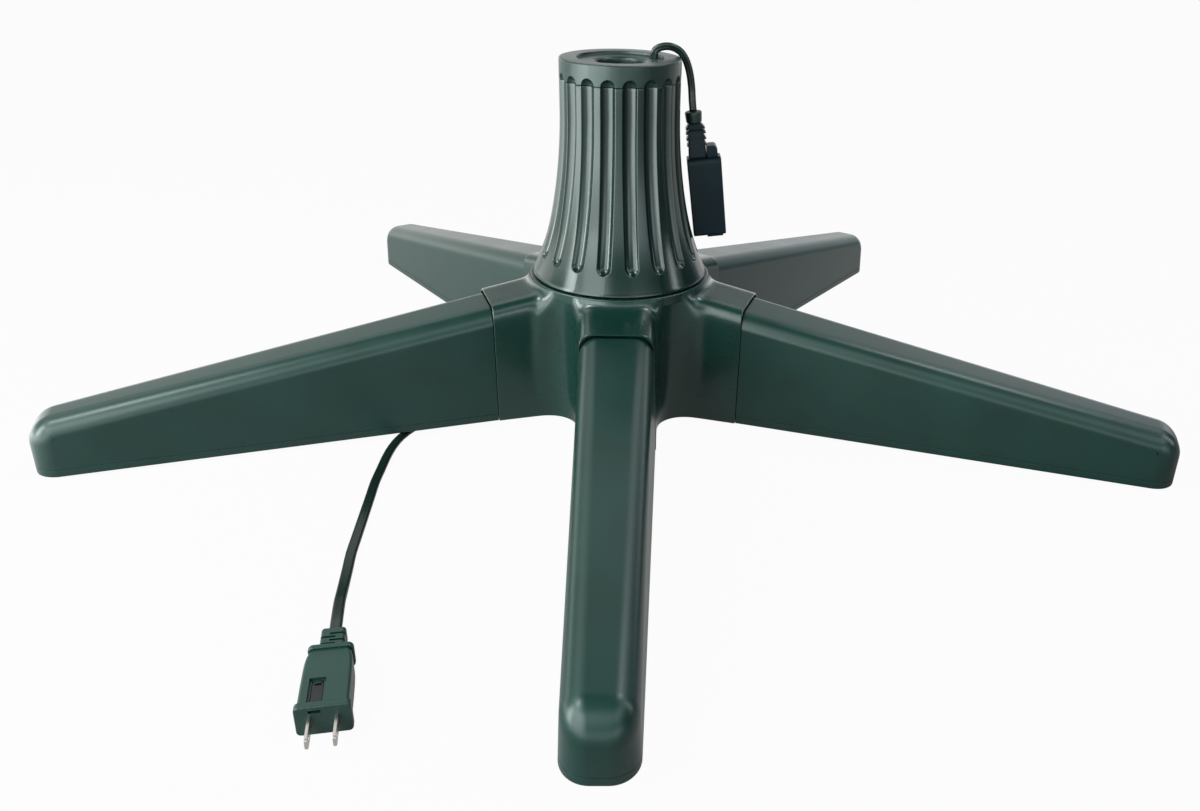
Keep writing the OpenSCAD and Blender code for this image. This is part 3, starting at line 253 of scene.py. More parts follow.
def on_axis(points):
    """Points in millimetres about the turning axis, as metres in the part's frame."""
    return [Vector((p[0] / 1000, p[1] / 1000 + AXIS_Y, p[2] / 1000)) for p in points]


def flowing(points, steps):
    """More points on the smooth curve through the given ones."""
    out = []
    for i in range(len(points) - 1):
        a, b = points[max(i - 1, 0)], points[i]
        c, d = points[i + 1], points[min(i + 2, len(points) - 1)]
        for k in range(steps):
            t = k / steps
            out.append(0.5 * (2 * b + (c - a) * t + (2 * a - 5 * b + 4 * c - d) * t * t
                              + (3 * b - a - 3 * c + d) * t ** 3))
    return out + [points[-1]]


def twin_lead(name, path, up, width, thick):
    """A flat lead of two round strands with a groove between them, swept along a path."""
    strand, apart = thick / 2, (width - thick) / 2
    round_points, groove_at, turn = 9, -112, 28
    section = []
    for side in (1, -1):
        for k in range(round_points):
            a = math.radians(groove_at + turn * k)
            section.append((side * (apart + strand * math.cos(a)), side * strand * math.sin(a)))
    mesh, count = bmesh.new(), len(section)
    rings = []
    for i, point in enumerate(path):
        along = (path[min(i + 1, len(path) - 1)] - path[max(i - 1, 0)]).normalized()
        across = Vector(up).cross(along).normalized()
        over = along.cross(across)
        rings.append([mesh.verts.new(point + across * x + over * y) for x, y in section])
    for low, high in zip(rings, rings[1:]):
        for k in range(count):
            n = (k + 1) % count
            mesh.faces.new((low[k], low[n], high[n], high[k]))
    mesh.faces.new(list(reversed(rings[0])))
    mesh.faces.new(rings[-1])
    bmesh.ops.recalc_face_normals(mesh, faces=mesh.faces)
    data = bpy.data.meshes.new(name)
    mesh.to_mesh(data)
    mesh.free()
    data.shade_smooth()
    o = bpy.data.objects.new(name, data)
    bpy.context.scene.collection.objects.link(o)
    return o


cord_w, cord_t, coil_in, coil_pitch, coil_layer = 6.7, 3.4, 30.9, 7.3, 4.3
coil_turns, coil_rings, coil_at = 4 + 146 / 360, 24, (0, 195)
coil_steps = round(coil_turns * coil_rings)
on_floor, air = cord_t / 2, 0.0001
coil = []
for i in range(coil_steps + 1):
    turn = coil_turns * i / coil_steps
    from_middle = turn - coil_turns / 2
    r, a = coil_in + coil_pitch * abs(from_middle), 2 * math.pi * turn
    lift = min(1, max(0, 0.5 - from_middle / 0.5))
    coil.append((coil_at[0] + r * math.cos(a), coil_at[1] + r * math.sin(a),
                 on_floor + coil_layer * lift))
first_x, first_y, first_z = coil[0]
last_x, last_y, last_z = coil[-1]
last_a = math.radians(360 * coil_turns)
last_dx, last_dy = -math.sin(last_a) * cord_w, math.cos(last_a) * cord_w
tail_route = [
    (0, 85, 19), (0, 92, 19), (1, 101, 18.4), (5, 112, 17), (12, 125, 14.6), (22, 139, 12),
    (33, 153, 9.4), (41, 165, 7.4), (45.5, 175, 6.3),
    (first_x, first_y - 2 * cord_w, first_z), (first_x, first_y - cord_w, first_z)]
floor_route = [
    (-52, 202), (-58, 188), (-63, 172), (-66, 155), (-67, 137), (-67, 119), (-66, 101), (-65, 83),
    (-65, 65), (-66, 48), (-69, 31), (-74, 15), (-81, 0), (-91, -13), (-103, -24), (-116, -33),
    (-130, -42), (-142, -52), (-151, -64), (-157, -78), (-160, -93), (-161, -109), (-161, -126),
    (-161, -143), (-160, -160), (-159, -177), (-158, -194), (-157, -211), (-156, -228)]
rising_route = [(-154, -244, 2), (-152, -259, 3), (-150, -272, 4.8), (-148, -284, 6.9)]
plug_at, plug_az = (-142.5, -314, 8.5), -80
plug_dx, plug_dy = math.cos(math.radians(plug_az)), math.sin(math.radians(plug_az))
run_route = [(last_x + k * last_dx, last_y + k * last_dy, last_z) for k in (1, 2)]
run_route += [(x, y, on_floor) for x, y in floor_route] + rising_route
run_route += [(plug_at[0] - k * plug_dx, plug_at[1] - k * plug_dy, plug_at[2]) for k in (14, 7, 0)]
power_path = flowing(on_axis(tail_route + coil + run_route), 2)
power_cord = twin_lead("power_cord", power_path, (0, 0, 1), cord_w / 1000 - air, cord_t / 1000 - air)

sheath = moulded("cord_sheath", (0.004, 0.016, 0.013), 0.17, 0.02, 1500)
power_cord.data.materials.append(sheath)
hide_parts("power_cord_tail", "power_cord_coil", "power_cord_run")
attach(power_cord, "base")

# ---- Outlet cord
# The same kind of lead, 5.4 x 3 mm: up through the cap's oval hole, over in an arch and down to
# the collar on the outlet's relief.

outlet_cord_w, outlet_cord_t = 5.4, 3
outlet_lean = -6.8
outlet_tilt = math.radians(outlet_lean)
outlet_at = Vector((61, 16, 189.4))
relief_x, relief_l, collar_h = -4.8, 24.4, 8.2
outlet_up = Vector((math.sin(outlet_tilt), 0, math.cos(outlet_tilt)))
outlet_side = Vector((math.cos(outlet_tilt), 0, -math.sin(outlet_tilt)))
collar_top = outlet_at + outlet_side * relief_x + outlet_up * (relief_l + collar_h)
outlet_route = [
    (23.5, 12, 256), (23.5, 12, 259), (24, 12, 262.5), (26.5, 12, 264.6), (30.5, 12, 265.8),
    (35, 12.3, 265.7), (39.2, 13, 264.2), (42.8, 13.7, 261.4), (45.8, 14.4, 257), (48, 15, 251.5),
    (49.6, 15.5, 245), (50.8, 16, 237), collar_top + 7 * outlet_up, collar_top]
outlet_path = flowing(on_axis(outlet_route), 4)
outlet_cord = twin_lead("outlet_cord_sheath", outlet_path, (0.15, 1, 0.1),
                        outlet_cord_w / 1000, outlet_cord_t / 1000)
outlet_cord.data.materials.append(sheath)
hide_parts("outlet_cord")
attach(outlet_cord, "turntable")

# ---- Legs
# Five hollow legs of satin dark green plastic, each moulded in two parts that meet just above
# the underside, with a rubber pad under the tip. A tongue plugs each leg into the hub.

leg_in, leg_out, leg_run, parting, seam_gap = 102.0, 411.85, 310.2, 5.5, 0.12
root_top, top_drop, root_low, low_drop = 91.6, 52.7, 5.8, 4.8
root_w, narrowing, draft = 56.2, 17.6, 0.038
tip_roll, corner_round, edge_share, roll_low, roll_h = 16.9, 16, 0.75, 22, 17.5
seam_round, foot_round, near_top = 0.3, 1.2, 90
tongue_l, tongue_half, tongue_low, tongue_high, tongue_wall = 33, 19.7, 12.8, 83.7, 3
pad_at, pad_r, pad_h, pad_border, pad_groove, pad_deep = 390.2, 9, 3, 2.2, 0.4, 0.5
leg_turns = {"front": -90, "left": -162, "right": -18, "back_right": 54, "back_left": 126}


def leg_top(x):
    """Height of the leg's flat top at a distance from the axis."""
    return root_top - top_drop * (x - leg_in) / leg_run


def leg_low(x):
    """Height of the leg's underside."""
    return root_low - low_drop * (x - leg_in) / leg_run


def leg_half(x, z):
    """Half the leg's width at a distance and a height."""
    return (root_w - narrowing * (x - leg_in) / leg_run) / 2 - draft * (z - leg_low(x))


def alone_none():
    """Leaves edit mode, with nothing selected."""
    if bpy.context.object and bpy.context.object.mode == "EDIT":
        bpy.ops.object.mode_set(mode="OBJECT")
    bpy.ops.object.select_all(action="DESELECT")


def alone(o):
    """Makes a piece the only selected one."""
    alone_none()
    o.select_set(True)
    bpy.context.view_layer.objects.active = o
    return o


def choose(o, kind, test):
    """In edit mode, selects the vertices, edges or faces whose middle passes the test."""
    if o.mode != "EDIT":
        alone(o)
        bpy.ops.object.mode_set(mode="EDIT")
    bpy.ops.mesh.select_mode(type=kind)
    bpy.ops.mesh.select_all(action="DESELECT")
    mesh = bmesh.from_edit_mesh(o.data)
    parts = {"VERT": mesh.verts, "EDGE": mesh.edges, "FACE": mesh.faces}[kind]
    for part in parts:
        middle = part.co if kind == "VERT" else (
            part.calc_center_median() if kind == "FACE" else (part.verts[0].co + part.verts[1].co) / 2)
        if test(part, middle * 1000):
            part.select_set(True)
    mesh.select_flush_mode()
    bmesh.update_edit_mesh(o.data)


def settle(o):
    """Writes a piece's place, turn and size into its mesh."""
    alone(o)
    bpy.ops.object.transform_apply(location=True, rotation=True, scale=True)


def put(o, at=(0, 0, 0), turn=(0, 0, 0)):
    """Turns a piece by degrees and takes it to a place about the turning axis, in millimetres."""
    o.rotation_euler = [math.radians(t) for t in turn]
    o.location = (at[0] / 1000, at[1] / 1000 + AXIS_Y, at[2] / 1000)
    settle(o)


def coat(o, m):
    """Gives a piece its finish."""
    o.data.materials.clear()
    o.data.materials.append(m)


def box(name, low, high):
    """A box between two corners in millimetres."""
    alone_none()
    bpy.ops.mesh.primitive_cube_add(size=1)
    o = bpy.context.object
    o.name = o.data.name = name
    o.scale = [(b - a) / 1000 for a, b in zip(low, high)]
    o.location = [(a + b) / 2000 for a, b in zip(low, high)]
    settle(o)
    return o


def squeeze(scale, about):
    """Scales what is selected about a point in millimetres."""
    bpy.ops.transform.resize(value=scale, center_override=[c / 1000 for c in about])


def move(by):
    """Moves what is selected by millimetres."""
    bpy.ops.transform.translate(value=[c / 1000 for c in by])


def bevel(offset, segments=3):
    """Rounds the selected edges."""
    bpy.ops.mesh.bevel(offset=offset / 1000, segments=segments, profile=0.5, affect="EDGES")


def apply(o, kind, **values):
    """Adds a modifier and applies it."""
    alone(o)
    m = o.modifiers.new(kind.lower(), kind)
    for key, value in values.items():
        setattr(m, key, value)
    bpy.ops.object.modifier_apply(modifier=m.name)


def soften(o, angle=35):
    """Smooth shading that keeps the flat faces flat."""
    alone(o)
    bpy.ops.object.shade_smooth_by_angle(angle=math.radians(angle))
    apply(o, "WEIGHTED_NORMAL", keep_sharp=True)


def copy(o, name):
    """A second piece with a mesh of its own."""
    twin = bpy.data.objects.new(name, o.data.copy())
    twin.data.name = name
    bpy.context.scene.collection.objects.link(twin)
    return twin


def cut(o, at, normal):
    """Cuts off what lies on the side that the normal points to."""
    choose(o, "FACE", lambda f, c: True)
    bpy.ops.mesh.bisect(plane_co=[c / 1000 for c in at], plane_no=normal, use_fill=True,
                        clear_outer=True)
    bpy.ops.object.mode_set(mode="OBJECT")


def carve(o, tool, how="DIFFERENCE"):
    """Cuts a piece with a tool, or joins them, and takes the tool away."""
    apply(o, "BOOLEAN", operation=how, object=tool, solver="EXACT")
    bpy.data.objects.remove(tool, do_unlink=True)


half_in = leg_half(leg_in, leg_low(leg_in))
leg = box("leg", (leg_in, -half_in, leg_low(leg_in)), (leg_out, half_in, leg_top(leg_in)))
tip_h, in_h = leg_top(leg_out) - leg_low(leg_out), leg_top(leg_in) - leg_low(leg_in)
choose(leg, "FACE", lambda f, c: c.x > leg_out - 1)
squeeze((1, leg_half(leg_out, leg_low(leg_out)) / half_in, tip_h / in_h), (leg_out, 0, 0))
move((0, 0, leg_low(leg_out) - leg_low(leg_in) * tip_h / in_h))
choose(leg, "EDGE", lambda e, c: c.x < leg_in + 1 and c.z > near_top)
squeeze((1, leg_half(leg_in, leg_top(leg_in)) / half_in, 1), (0, 0, 0))
choose(leg, "EDGE", lambda e, c: c.x > leg_out - 1 and abs(c.y) < 1 and c.z > 30)
squeeze((1, leg_half(leg_out, leg_top(leg_out)) / leg_half(leg_out, leg_low(leg_out)), 1), (0, 0, 0))
choose(leg, "EDGE", lambda e, c: c.x > leg_out - 1 and abs(c.y) < 1 and c.z > 30)
bevel(tip_roll, 14)
alone_none()

# the tip's upright corners are rounded by 16 mm, and the two long top edges by three quarters of
# that; the rounding changes from one to the other over the roll at the tip
corners = bmesh.new()
corners.from_mesh(leg.data)
weight = corners.edges.layers.float.new("bevel_weight_edge")
for e in corners.edges:
    a, b = e.verts[0].co * 1000, e.verts[1].co * 1000
    upright = abs(a.z - b.z) > 10 and min(a.x, b.x) > leg_out - 1
    along_top = abs(a.x - b.x) > 200 and min(a.z, b.z) > 20
    rolling = min(a.x, b.x) > leg_out - 21 and a.y * b.y > 0 and abs(a.y - b.y) < 3
    if upright:
        e[weight] = 1.0
    elif along_top:
        e[weight] = edge_share
    elif rolling and min(a.z, b.z) > 10:
        high = ((a.z + b.z) / 2 - roll_low) / roll_h
        e[weight] = 1.0 - (1 - edge_share) * min(1, max(0, high))
corners.to_mesh(leg.data)
corners.free()
apply(leg, "BEVEL", limit_method="WEIGHT", width=corner_round / 1000, segments=12, profile=0.5,
      use_clamp_overlap=False, loop_slide=True)

low_slope = low_drop / leg_run
seam_z_in = leg_low(leg_in) + parting
leg_shell = leg
leg_cover = copy(leg, "leg_cover")
cut(leg_shell, (leg_in, 0, seam_z_in), (-low_slope, 0, -1))
cut(leg_cover, (leg_in, 0, seam_z_in - seam_gap), (low_slope, 0, 1))
for part in (leg_shell, leg_cover):
    choose(part, "EDGE", lambda e, c: len(e.link_faces) == 2 and e.calc_face_angle() > math.radians(60)
           and (c.x < leg_in + 1 or abs(c.z - leg_low(c.x) - parting) < 0.5))
    bevel(seam_round, 2)
choose(leg_cover, "EDGE", lambda e, c: c.z < leg_low(c.x) + 0.05 and len(e.link_faces) == 2
       and e.calc_face_angle() > math.radians(60) and c.x > leg_in + 1)
bevel(foot_round, 3)
alone_none()

# the tongue is a hollow box, open towards the hub
tongue = box("tongue", (leg_in - tongue_l, -tongue_half, tongue_low),
             (leg_in + 1.5, tongue_half, tongue_high))
choose(tongue, "FACE", lambda f, c: c.x < leg_in - tongue_l + 1)
bpy.ops.mesh.inset(thickness=tongue_wall / 1000)
bpy.ops.mesh.extrude_region_move(TRANSFORM_OT_translate={"value": ((tongue_l - 1) / 1000, 0, 0)})
choose(tongue, "EDGE", lambda e, c: c.x < leg_in - tongue_l + 0.1 or (
    abs(c.y) > tongue_half - 0.2 and not tongue_low + 0.2 <= c.z <= tongue_high - 0.2))
bevel(0.8, 3)
alone(leg_shell)
tongue.select_set(True)
bpy.ops.object.join()

# the pad sits in a hole of the underside, and its own underside is sunk inside a raised border
bpy.ops.mesh.primitive_cylinder_add(vertices=64, radius=(pad_r + 0.1) / 1000,
                                    depth=2 * (pad_h + 0.1) / 1000, location=(pad_at / 1000, 0, 0))
carve(leg_cover, bpy.context.object)
bpy.ops.mesh.primitive_cylinder_add(vertices=64, radius=pad_r / 1000, depth=pad_h / 1000,
                                    location=(pad_at / 1000, 0, pad_h / 2000))
foot_pad = bpy.context.object
settle(foot_pad)
choose(foot_pad, "FACE", lambda f, c: c.z < 0.1)
bpy.ops.mesh.inset(thickness=pad_border / 1000)
bpy.ops.mesh.inset(thickness=pad_groove / 1000)
move((0, 0, pad_deep))
choose(foot_pad, "EDGE", lambda e, c: c.z < 0.1 and math.hypot(c.x - pad_at, c.y) > pad_r - 0.1)
bevel(0.5, 2)
alone_none()
for part in (leg_shell, leg_cover, foot_pad):
    soften(part)

leg_green = moulded("leg_green_plastic", (0.004, 0.031, 0.0245), 0.32, 0.05, 900, 0.3)
pad_black = moulded("pad_rubber_skin", (0.012, 0.012, 0.012), 0.75, 0.5, 1500)
coat(leg_shell, leg_green)
coat(leg_cover, leg_green)
coat(foot_pad, pad_black)
leg_parts = ((leg_shell, "leg_shell", "leg_green"), (leg_cover, "leg_cover", "cover_green"),
             (foot_pad, "foot_pad", "pad_rubber"))
for side, turn in leg_turns.items():
    for piece, word, slot in leg_parts:
        part = copy(piece, side + "_" + word + "_moulding")
        put(part, turn=(0, 0, turn))
        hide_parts(side + "_" + word)
        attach(part, side + "_leg")
for piece, word, slot in leg_parts:
    bpy.data.objects.remove(piece, do_unlink=True)

# ---- Hub
# The fixed middle: one dark green moulding with five stubs, deep hollows between them and a
# rim under the turning skirt. A square pocket in each stub takes a leg's tongue.

stub_end, hub_low, rim_z, rim_r, bore_r, edge = 101.6, 5.8, 105.5, 66.44, 62.44, 0.4
hub_r, side_top, neck_z, neck_r, valley_r, valley_at = 76.3, 87.4, 104, 67.2, 22, 86.976
draw_low, draw_high, web_low, web_high, bushing_r, exit_z = -8, 122, 92, 95, 13.6, 19
stub_in, stub_long, stub_half, stub_tip_half = 46, 116, 30.2, 28.7
stub_top_share, stub_over, stub_round = 0.875, 2.5, 7
pocket_in, pocket_half, pocket_low, pocket_high = 66.7, 20, 12.5, 84
mouth_in, mouth_low, mouth_round, past_end = 97.6, 50, 9.5, stub_end + 4


def rod(name, radius, low, high, at=(0, 0), sides=128, taper=None):
    """An upright rod or cone from one height to another, in millimetres."""
    alone_none()
    place = (at[0] / 1000, at[1] / 1000, (low + high) / 2000)
    bpy.ops.mesh.primitive_cone_add(vertices=sides, radius1=radius / 1000, location=place,
                                    radius2=(taper or radius) / 1000, depth=(high - low) / 1000)
    o = bpy.context.object
    o.name = o.data.name = name
    settle(o)
    return o


def spun_round(o, turn):
    """Turns a piece that was drawn along +X about the axis."""
    o.rotation_euler = (0, 0, math.radians(turn))
    settle(o)
    return o


# the whole is drawn too long at both ends, melted into one rounded body, and then cut to length
hub = rod("hub", hub_r, draw_low, side_top, sides=180)
carve(hub, rod("shoulder", hub_r, side_top, neck_z, sides=180, taper=neck_r), "UNION")
carve(hub, rod("neck", neck_r, neck_z - 0.1, draw_high, sides=180, taper=65.5), "UNION")
for i in range(5):
    valley = rod("valley", valley_r, -20, 130, at=(valley_at, 0), sides=96)
    carve(hub, spun_round(valley, -90 + 72 * (i + 0.5)))
for turn in leg_turns.values():
    stub = box("stub", (stub_in, -stub_half, draw_low),
               (stub_long, stub_half, leg_top(stub_in) + stub_over))
    choose(stub, "FACE", lambda f, c: c.x > stub_long - 1)
    squeeze((1, stub_tip_half / stub_half, 1), (0, 0, 0))
    choose(stub, "EDGE", lambda e, c: c.x > stub_long - 1 and c.z > near_top)
    move((0, 0, leg_top(stub_long) - leg_top(stub_in)))
    choose(stub, "FACE", lambda f, c: c.z > near_top)
    squeeze((1, stub_top_share, 1), (0, 0, 0))
    choose(stub, "EDGE", lambda e, c: abs(c.y) > 15 and c.z > near_top
           and stub_in + 1 < c.x < stub_long - 1)
    bevel(stub_round, 8)
    alone_none()
    carve(hub, spun_round(stub, turn), "UNION")
apply(hub, "REMESH", mode="VOXEL", voxel_size=0.0012, use_smooth_shade=True)
apply(hub, "SMOOTH", factor=0.5, iterations=90)
for turn in leg_turns.values():
    a = math.radians(turn)
    out = (math.cos(a), math.sin(a), 0)
    cut(hub, (out[0] * (stub_end - edge), out[1] * (stub_end - edge), 0), out)
    choose(hub, "FACE", lambda f, c: c.x * out[0] + c.y * out[1] > stub_end - edge - 0.02)
    bpy.ops.mesh.inset(thickness=edge / 1000)
    move((out[0] * edge, out[1] * edge, 0))
    alone_none()
cut(hub, (0, 0, rim_z - 0.9), (0, 0, 1))
cut(hub, (0, 0, hub_low + edge), (0, 0, -1))
choose(hub, "FACE", lambda f, c: c.z < hub_low + edge + 0.02)
bpy.ops.mesh.inset(thickness=edge / 1000)
move((0, 0, -edge))
alone_none()

# the space inside: the room below the web, the well above it, the bushing's hole between them, a
# pocket for each tongue, and two upright notches in the inner wall beside the right leg's pocket
hollow = rod("hollow", bore_r, hub_low - 5, web_low)
carve(hollow, rod("well", bore_r, web_high, 120), "UNION")
carve(hollow, rod("bushing_hole", bushing_r, web_low - 2, web_high + 2, sides=64), "UNION")
for turn in leg_turns.values():
    pocket = box("pocket", (pocket_in, -pocket_half, pocket_low),
                 (past_end, pocket_half, pocket_high))
    carve(hollow, spun_round(pocket, turn), "UNION")
for radius, tall, out, sides in ((5.6, 22, 61.2, 48), (8.4, 14, pocket_in, 64)):
    notch = rod("notch", radius, 0, tall, sides=sides)
    notch.location = (out / 1000, 0, exit_z / 1000)
    settle(notch)
    carve(hollow, notch, "UNION")
rim = rod("rim", rim_r + 0.35, 99, rim_z, sides=180)
choose(rim, "EDGE", lambda e, c: c.z > rim_z - 0.1)
bevel(0.6, 3)
alone_none()
carve(hub, rim, "UNION")
carve(hub, hollow)

# in its upper half each stub's end is set back, inside the outline of the leg that meets it
for turn in leg_turns.values():
    wide, top_wide = leg_half(leg_in, mouth_low), leg_half(leg_in, leg_top(leg_in))
    mouth = box("mouth", (mouth_in, -wide, mouth_low), (past_end, wide, leg_top(leg_in) + 1.6))
    choose(mouth, "FACE", lambda f, c: c.z > near_top)
    squeeze((1, top_wide / wide, 1), (0, 0, 0))
    choose(mouth, "EDGE", lambda e, c: c.z > near_top and abs(c.y) > 15)
    bevel(mouth_round, 8)
    alone_none()
    carve(hub, spun_round(mouth, turn))
soften(hub, 40)
hub_green = moulded("hub_green_plastic", (0.0035, 0.03, 0.023), 0.27, 0.05, 900, 0.3)
shader_of(hub_green).inputs["Coat Weight"].default_value = 0.2
shader_of(hub_green).inputs["Coat Roughness"].default_value = 0.1
coat(hub, hub_green)
put(hub)
hub.name = hub.data.name = "hub_moulding"
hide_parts("hub_shell")
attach(hub, "base")

# ---- Column and cap
# The turning column: one green moulding that flares out to a skirt, with 18 half-round flutes
# that end in round tips. Its cap is a separate, finely textured ring on a seam across them.

column_r, skirt_z, seam_z, column_top_z = 42.7, 107, 245.3, 259.7
flare_r, skirt_flare_r, steep, steepest = 386, 180, math.radians(11.2), math.radians(26)
flutes, flute_deep, groove_r, arris_r, flute_end_z = 18, 3.6, 5.3, 0.7, 125.1
center_out = groove_r - flute_deep
flute_half = math.sqrt((groove_r + arris_r) ** 2 - (center_out + arris_r) ** 2)
flute_lip = flute_half * groove_r / (groove_r + arris_r)
mid_z = skirt_z + skirt_flare_r * (math.sin(steepest) - math.sin(steep))
mid_r = column_r + flare_r * (1 - math.cos(steep))
top_z = mid_z + flare_r * math.sin(steep)


def column_radius(z):
    """The column's radius at a height: straight above, a wide flare and then a closer one."""
    if z >= top_z:
        return column_r
    if z >= mid_z:
        return column_r + flare_r * (1 - math.cos(math.asin((top_z - z) / flare_r)))
    lean = min(math.sin(steepest), math.sin(steep) + (mid_z - z) / skirt_flare_r)
    return mid_r + skirt_flare_r * (math.cos(steep) - math.cos(math.asin(lean)))


def flute_dip(q):
    """Depth of a flute at a distance from its middle line: a round groove with rounded lips."""
    if q >= flute_half:
        return 0
    if q > flute_lip:
        return arris_r - math.sqrt(arris_r ** 2 - (flute_half - q) ** 2)
    return math.sqrt(groove_r ** 2 - q * q) - center_out


across = [-1, -0.97, -0.93, -0.9, -0.87, -0.84, -0.78, -0.68, -0.55, -0.42, -0.28, -0.14, 0,
          0.14, 0.28, 0.42, 0.55, 0.68, 0.78, 0.84, 0.87, 0.9, 0.93, 0.97, 1]
on_land, narrowest = [0.25, 0.5, 0.75], 0.25


def fluted(name, levels):
    """A closed ring wall. Each level has its radius, its height, and how far it lies past the
    flutes' round ends. No operator presses round flutes of one width into a flaring wall, so
    the vertices of a plain grid are set out here."""
    alone_none()
    each = len(across) + len(on_land)
    columns, rows = flutes * each, len(levels)
    bpy.ops.mesh.primitive_grid_add(x_subdivisions=columns, y_subdivisions=rows)
    o = bpy.context.object
    o.name = o.data.name = name
    for v in o.data.vertices:
        k, row = v.index % (columns + 1), v.index // (columns + 1)
        radius, z, past = levels[row % rows]
        flute, place = divmod(k % columns, each)
        end = min(past, flute_half)
        width = max(narrowest * flute_half, math.sqrt(flute_half ** 2 - end ** 2))
        if place < len(across):
            u = across[place] * width
            turn = u / radius
            dip = flute_dip(math.hypot(u, past))
        else:
            gap = 2 * math.pi / flutes - 2 * width / radius
            turn = width / radius + gap * on_land[place - len(across)]
            dip = 0
        turn += 2 * math.pi * flute / flutes
        out = radius - dip
        v.co = (out * math.cos(turn) / 1000, out * math.sin(turn) / 1000, z / 1000)
    choose(o, "VERT", lambda v, c: True)
    bpy.ops.mesh.remove_doubles(threshold=0.000002)
    bpy.ops.mesh.normals_make_consistent(inside=False)
    alone_none()
    return o


end_steps, end_step, wall, inner_r_most = 13, 7.5, 6.2, 57


def unfluted(*rings):
    """Levels far past the flutes' ends, where the wall is round."""
    return [(radius, z, 2 * flute_half) for radius, z in rings]


skirt_r = column_radius(skirt_z)
levels = unfluted((skirt_r - 0.5, skirt_z - 0.5), (skirt_r, skirt_z + 0.2))
levels += unfluted(*[(column_radius(z), z) for z in (109.5, 112, 114.5, 117, 118.8)])
for step in range(end_steps):
    past = flute_half * math.sin(math.radians(90 - end_step * step))
    levels.append((column_radius(flute_end_z - past), flute_end_z - past, past))
levels += [(column_radius(z), z, 0) for z in range(128, 245, 5)]
levels += [(column_r - back, seam_z - down, 0) for back, down in ((0, 0.5), (0.15, 0.15), (0.4, 0))]
levels += unfluted((38.6, seam_z), (38.6, 237), (37, 236))
levels += unfluted(*[(min(column_radius(z) - wall, inner_r_most), z)
                     for z in (220, 200, 180, 160, 145, 130, 120, 115)])
levels += unfluted((52, 111.6), (58.5, 111.6), (61.4, 108))
column = fluted("column_moulding", levels)
soften(column, 80)
column_green = moulded("column_green_plastic", (0.0013, 0.018, 0.013), 0.19, 0.05, 1100, 0.2)
coat(column, column_green)
put(column)
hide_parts("column_shell")
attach(column, "turntable")

# the cap's wall, from the seam up over its rim, down the pole's hole and back inside
levels = [(42.3, seam_z + 0.05, 0), (column_r - 0.1, seam_z + 0.2, 0), (column_r, seam_z + 0.55, 0.4)]
for step in range(1, end_steps):
    past = flute_half * math.sin(math.radians(end_step * step))
    if past > 0.6:
        levels.append((column_r, seam_z + past, past))
levels += unfluted(
    (column_r, 252.5), (column_r, 258.6), (column_r - 0.15, 259.2), (column_r - 0.5, 259.55),
    (column_r - 1.1, column_top_z), (36, column_top_z), (31.1, column_top_z), (30.75, 259.6),
    (30.55, 259.3), (30.5, 258.1), (30.2, 257.75), (29.8, 257.7), (25, 257.7), (19.9, 257.7),
    (19, 257.55), (18.1, 257.1), (17.45, 256.2), (17.2, 255.2), (17.2, 252.1), (19.1, 252.1),
    (19.1, 250.7), (21.2, 250.7), (21.2, 254.7), (35.9, 254.7), (35.9, 239.3), (38.2, 239.3),
    (38.2, seam_z + 0.05))
cap = fluted("cap_moulding", levels)

# the cord's hole is long in the direction away from the axis
cord_x, cord_y, cord_hole_r, half_longer = 23.5, 12, 2.5, 1.3
hole_out = math.hypot(cord_x, cord_y) + half_longer
hole = rod("hole", cord_hole_r, 252, 260, at=(hole_out, 0), sides=32)
choose(hole, "VERT", lambda v, c: c.x < hole_out)
move((-2 * half_longer, 0, 0))
alone_none()
carve(cap, spun_round(hole, math.degrees(math.atan2(cord_y, cord_x))))
soften(cap, 62)
cap_green = moulded("cap_textured_plastic", (0.005, 0.025, 0.02), 0.34, 0.3, 1500)
coat(cap, cap_green)
put(cap)
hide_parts("top_cap")
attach(cap, "turntable")

# ---- Outlet block and its collar
# A three-way outlet of near-black plastic that hangs on the outlet cord: a front cover on a back
# part with three pairs of slots, a ribbed relief moulded on it, and a screw collar on the relief.


def turned(name, profile, sides=64):
    """A round solid, drawn up ring by ring from its underside. The profile is radius, height."""
    alone_none()
    (first, low), rest = profile[0], profile[1:]
    bpy.ops.mesh.primitive_circle_add(vertices=sides, radius=first / 1000, fill_type="NGON",
                                      location=(0, 0, low / 1000))
    o = bpy.context.object
    o.name = o.data.name = name
    settle(o)
    choose(o, "FACE", lambda f, c: True)
    for radius, height in rest:
        up = (0, 0, (height - low) / 1000)
        bpy.ops.mesh.extrude_region_move(TRANSFORM_OT_translate={"value": up})
        squeeze((radius / first, radius / first, 1), (0, 0, height))
        first, low = radius, height
    bpy.ops.mesh.select_all(action="SELECT")
    bpy.ops.mesh.normals_make_consistent(inside=False)
    alone_none()
    return o


def rounded(o, offset, segments=3, angle=50):
    """Rounds every edge that is sharper than the angle."""
    apply(o, "BEVEL", limit_method="ANGLE", angle_limit=math.radians(angle), width=offset / 1000,
          segments=segments, use_clamp_overlap=True)
    return o


def together(parts):
    """Joins solids that belong to one moulding into one piece."""
    alone(parts[0])
    for o in parts[1:]:
        o.select_set(True)
    bpy.ops.object.join()
    return bpy.context.object


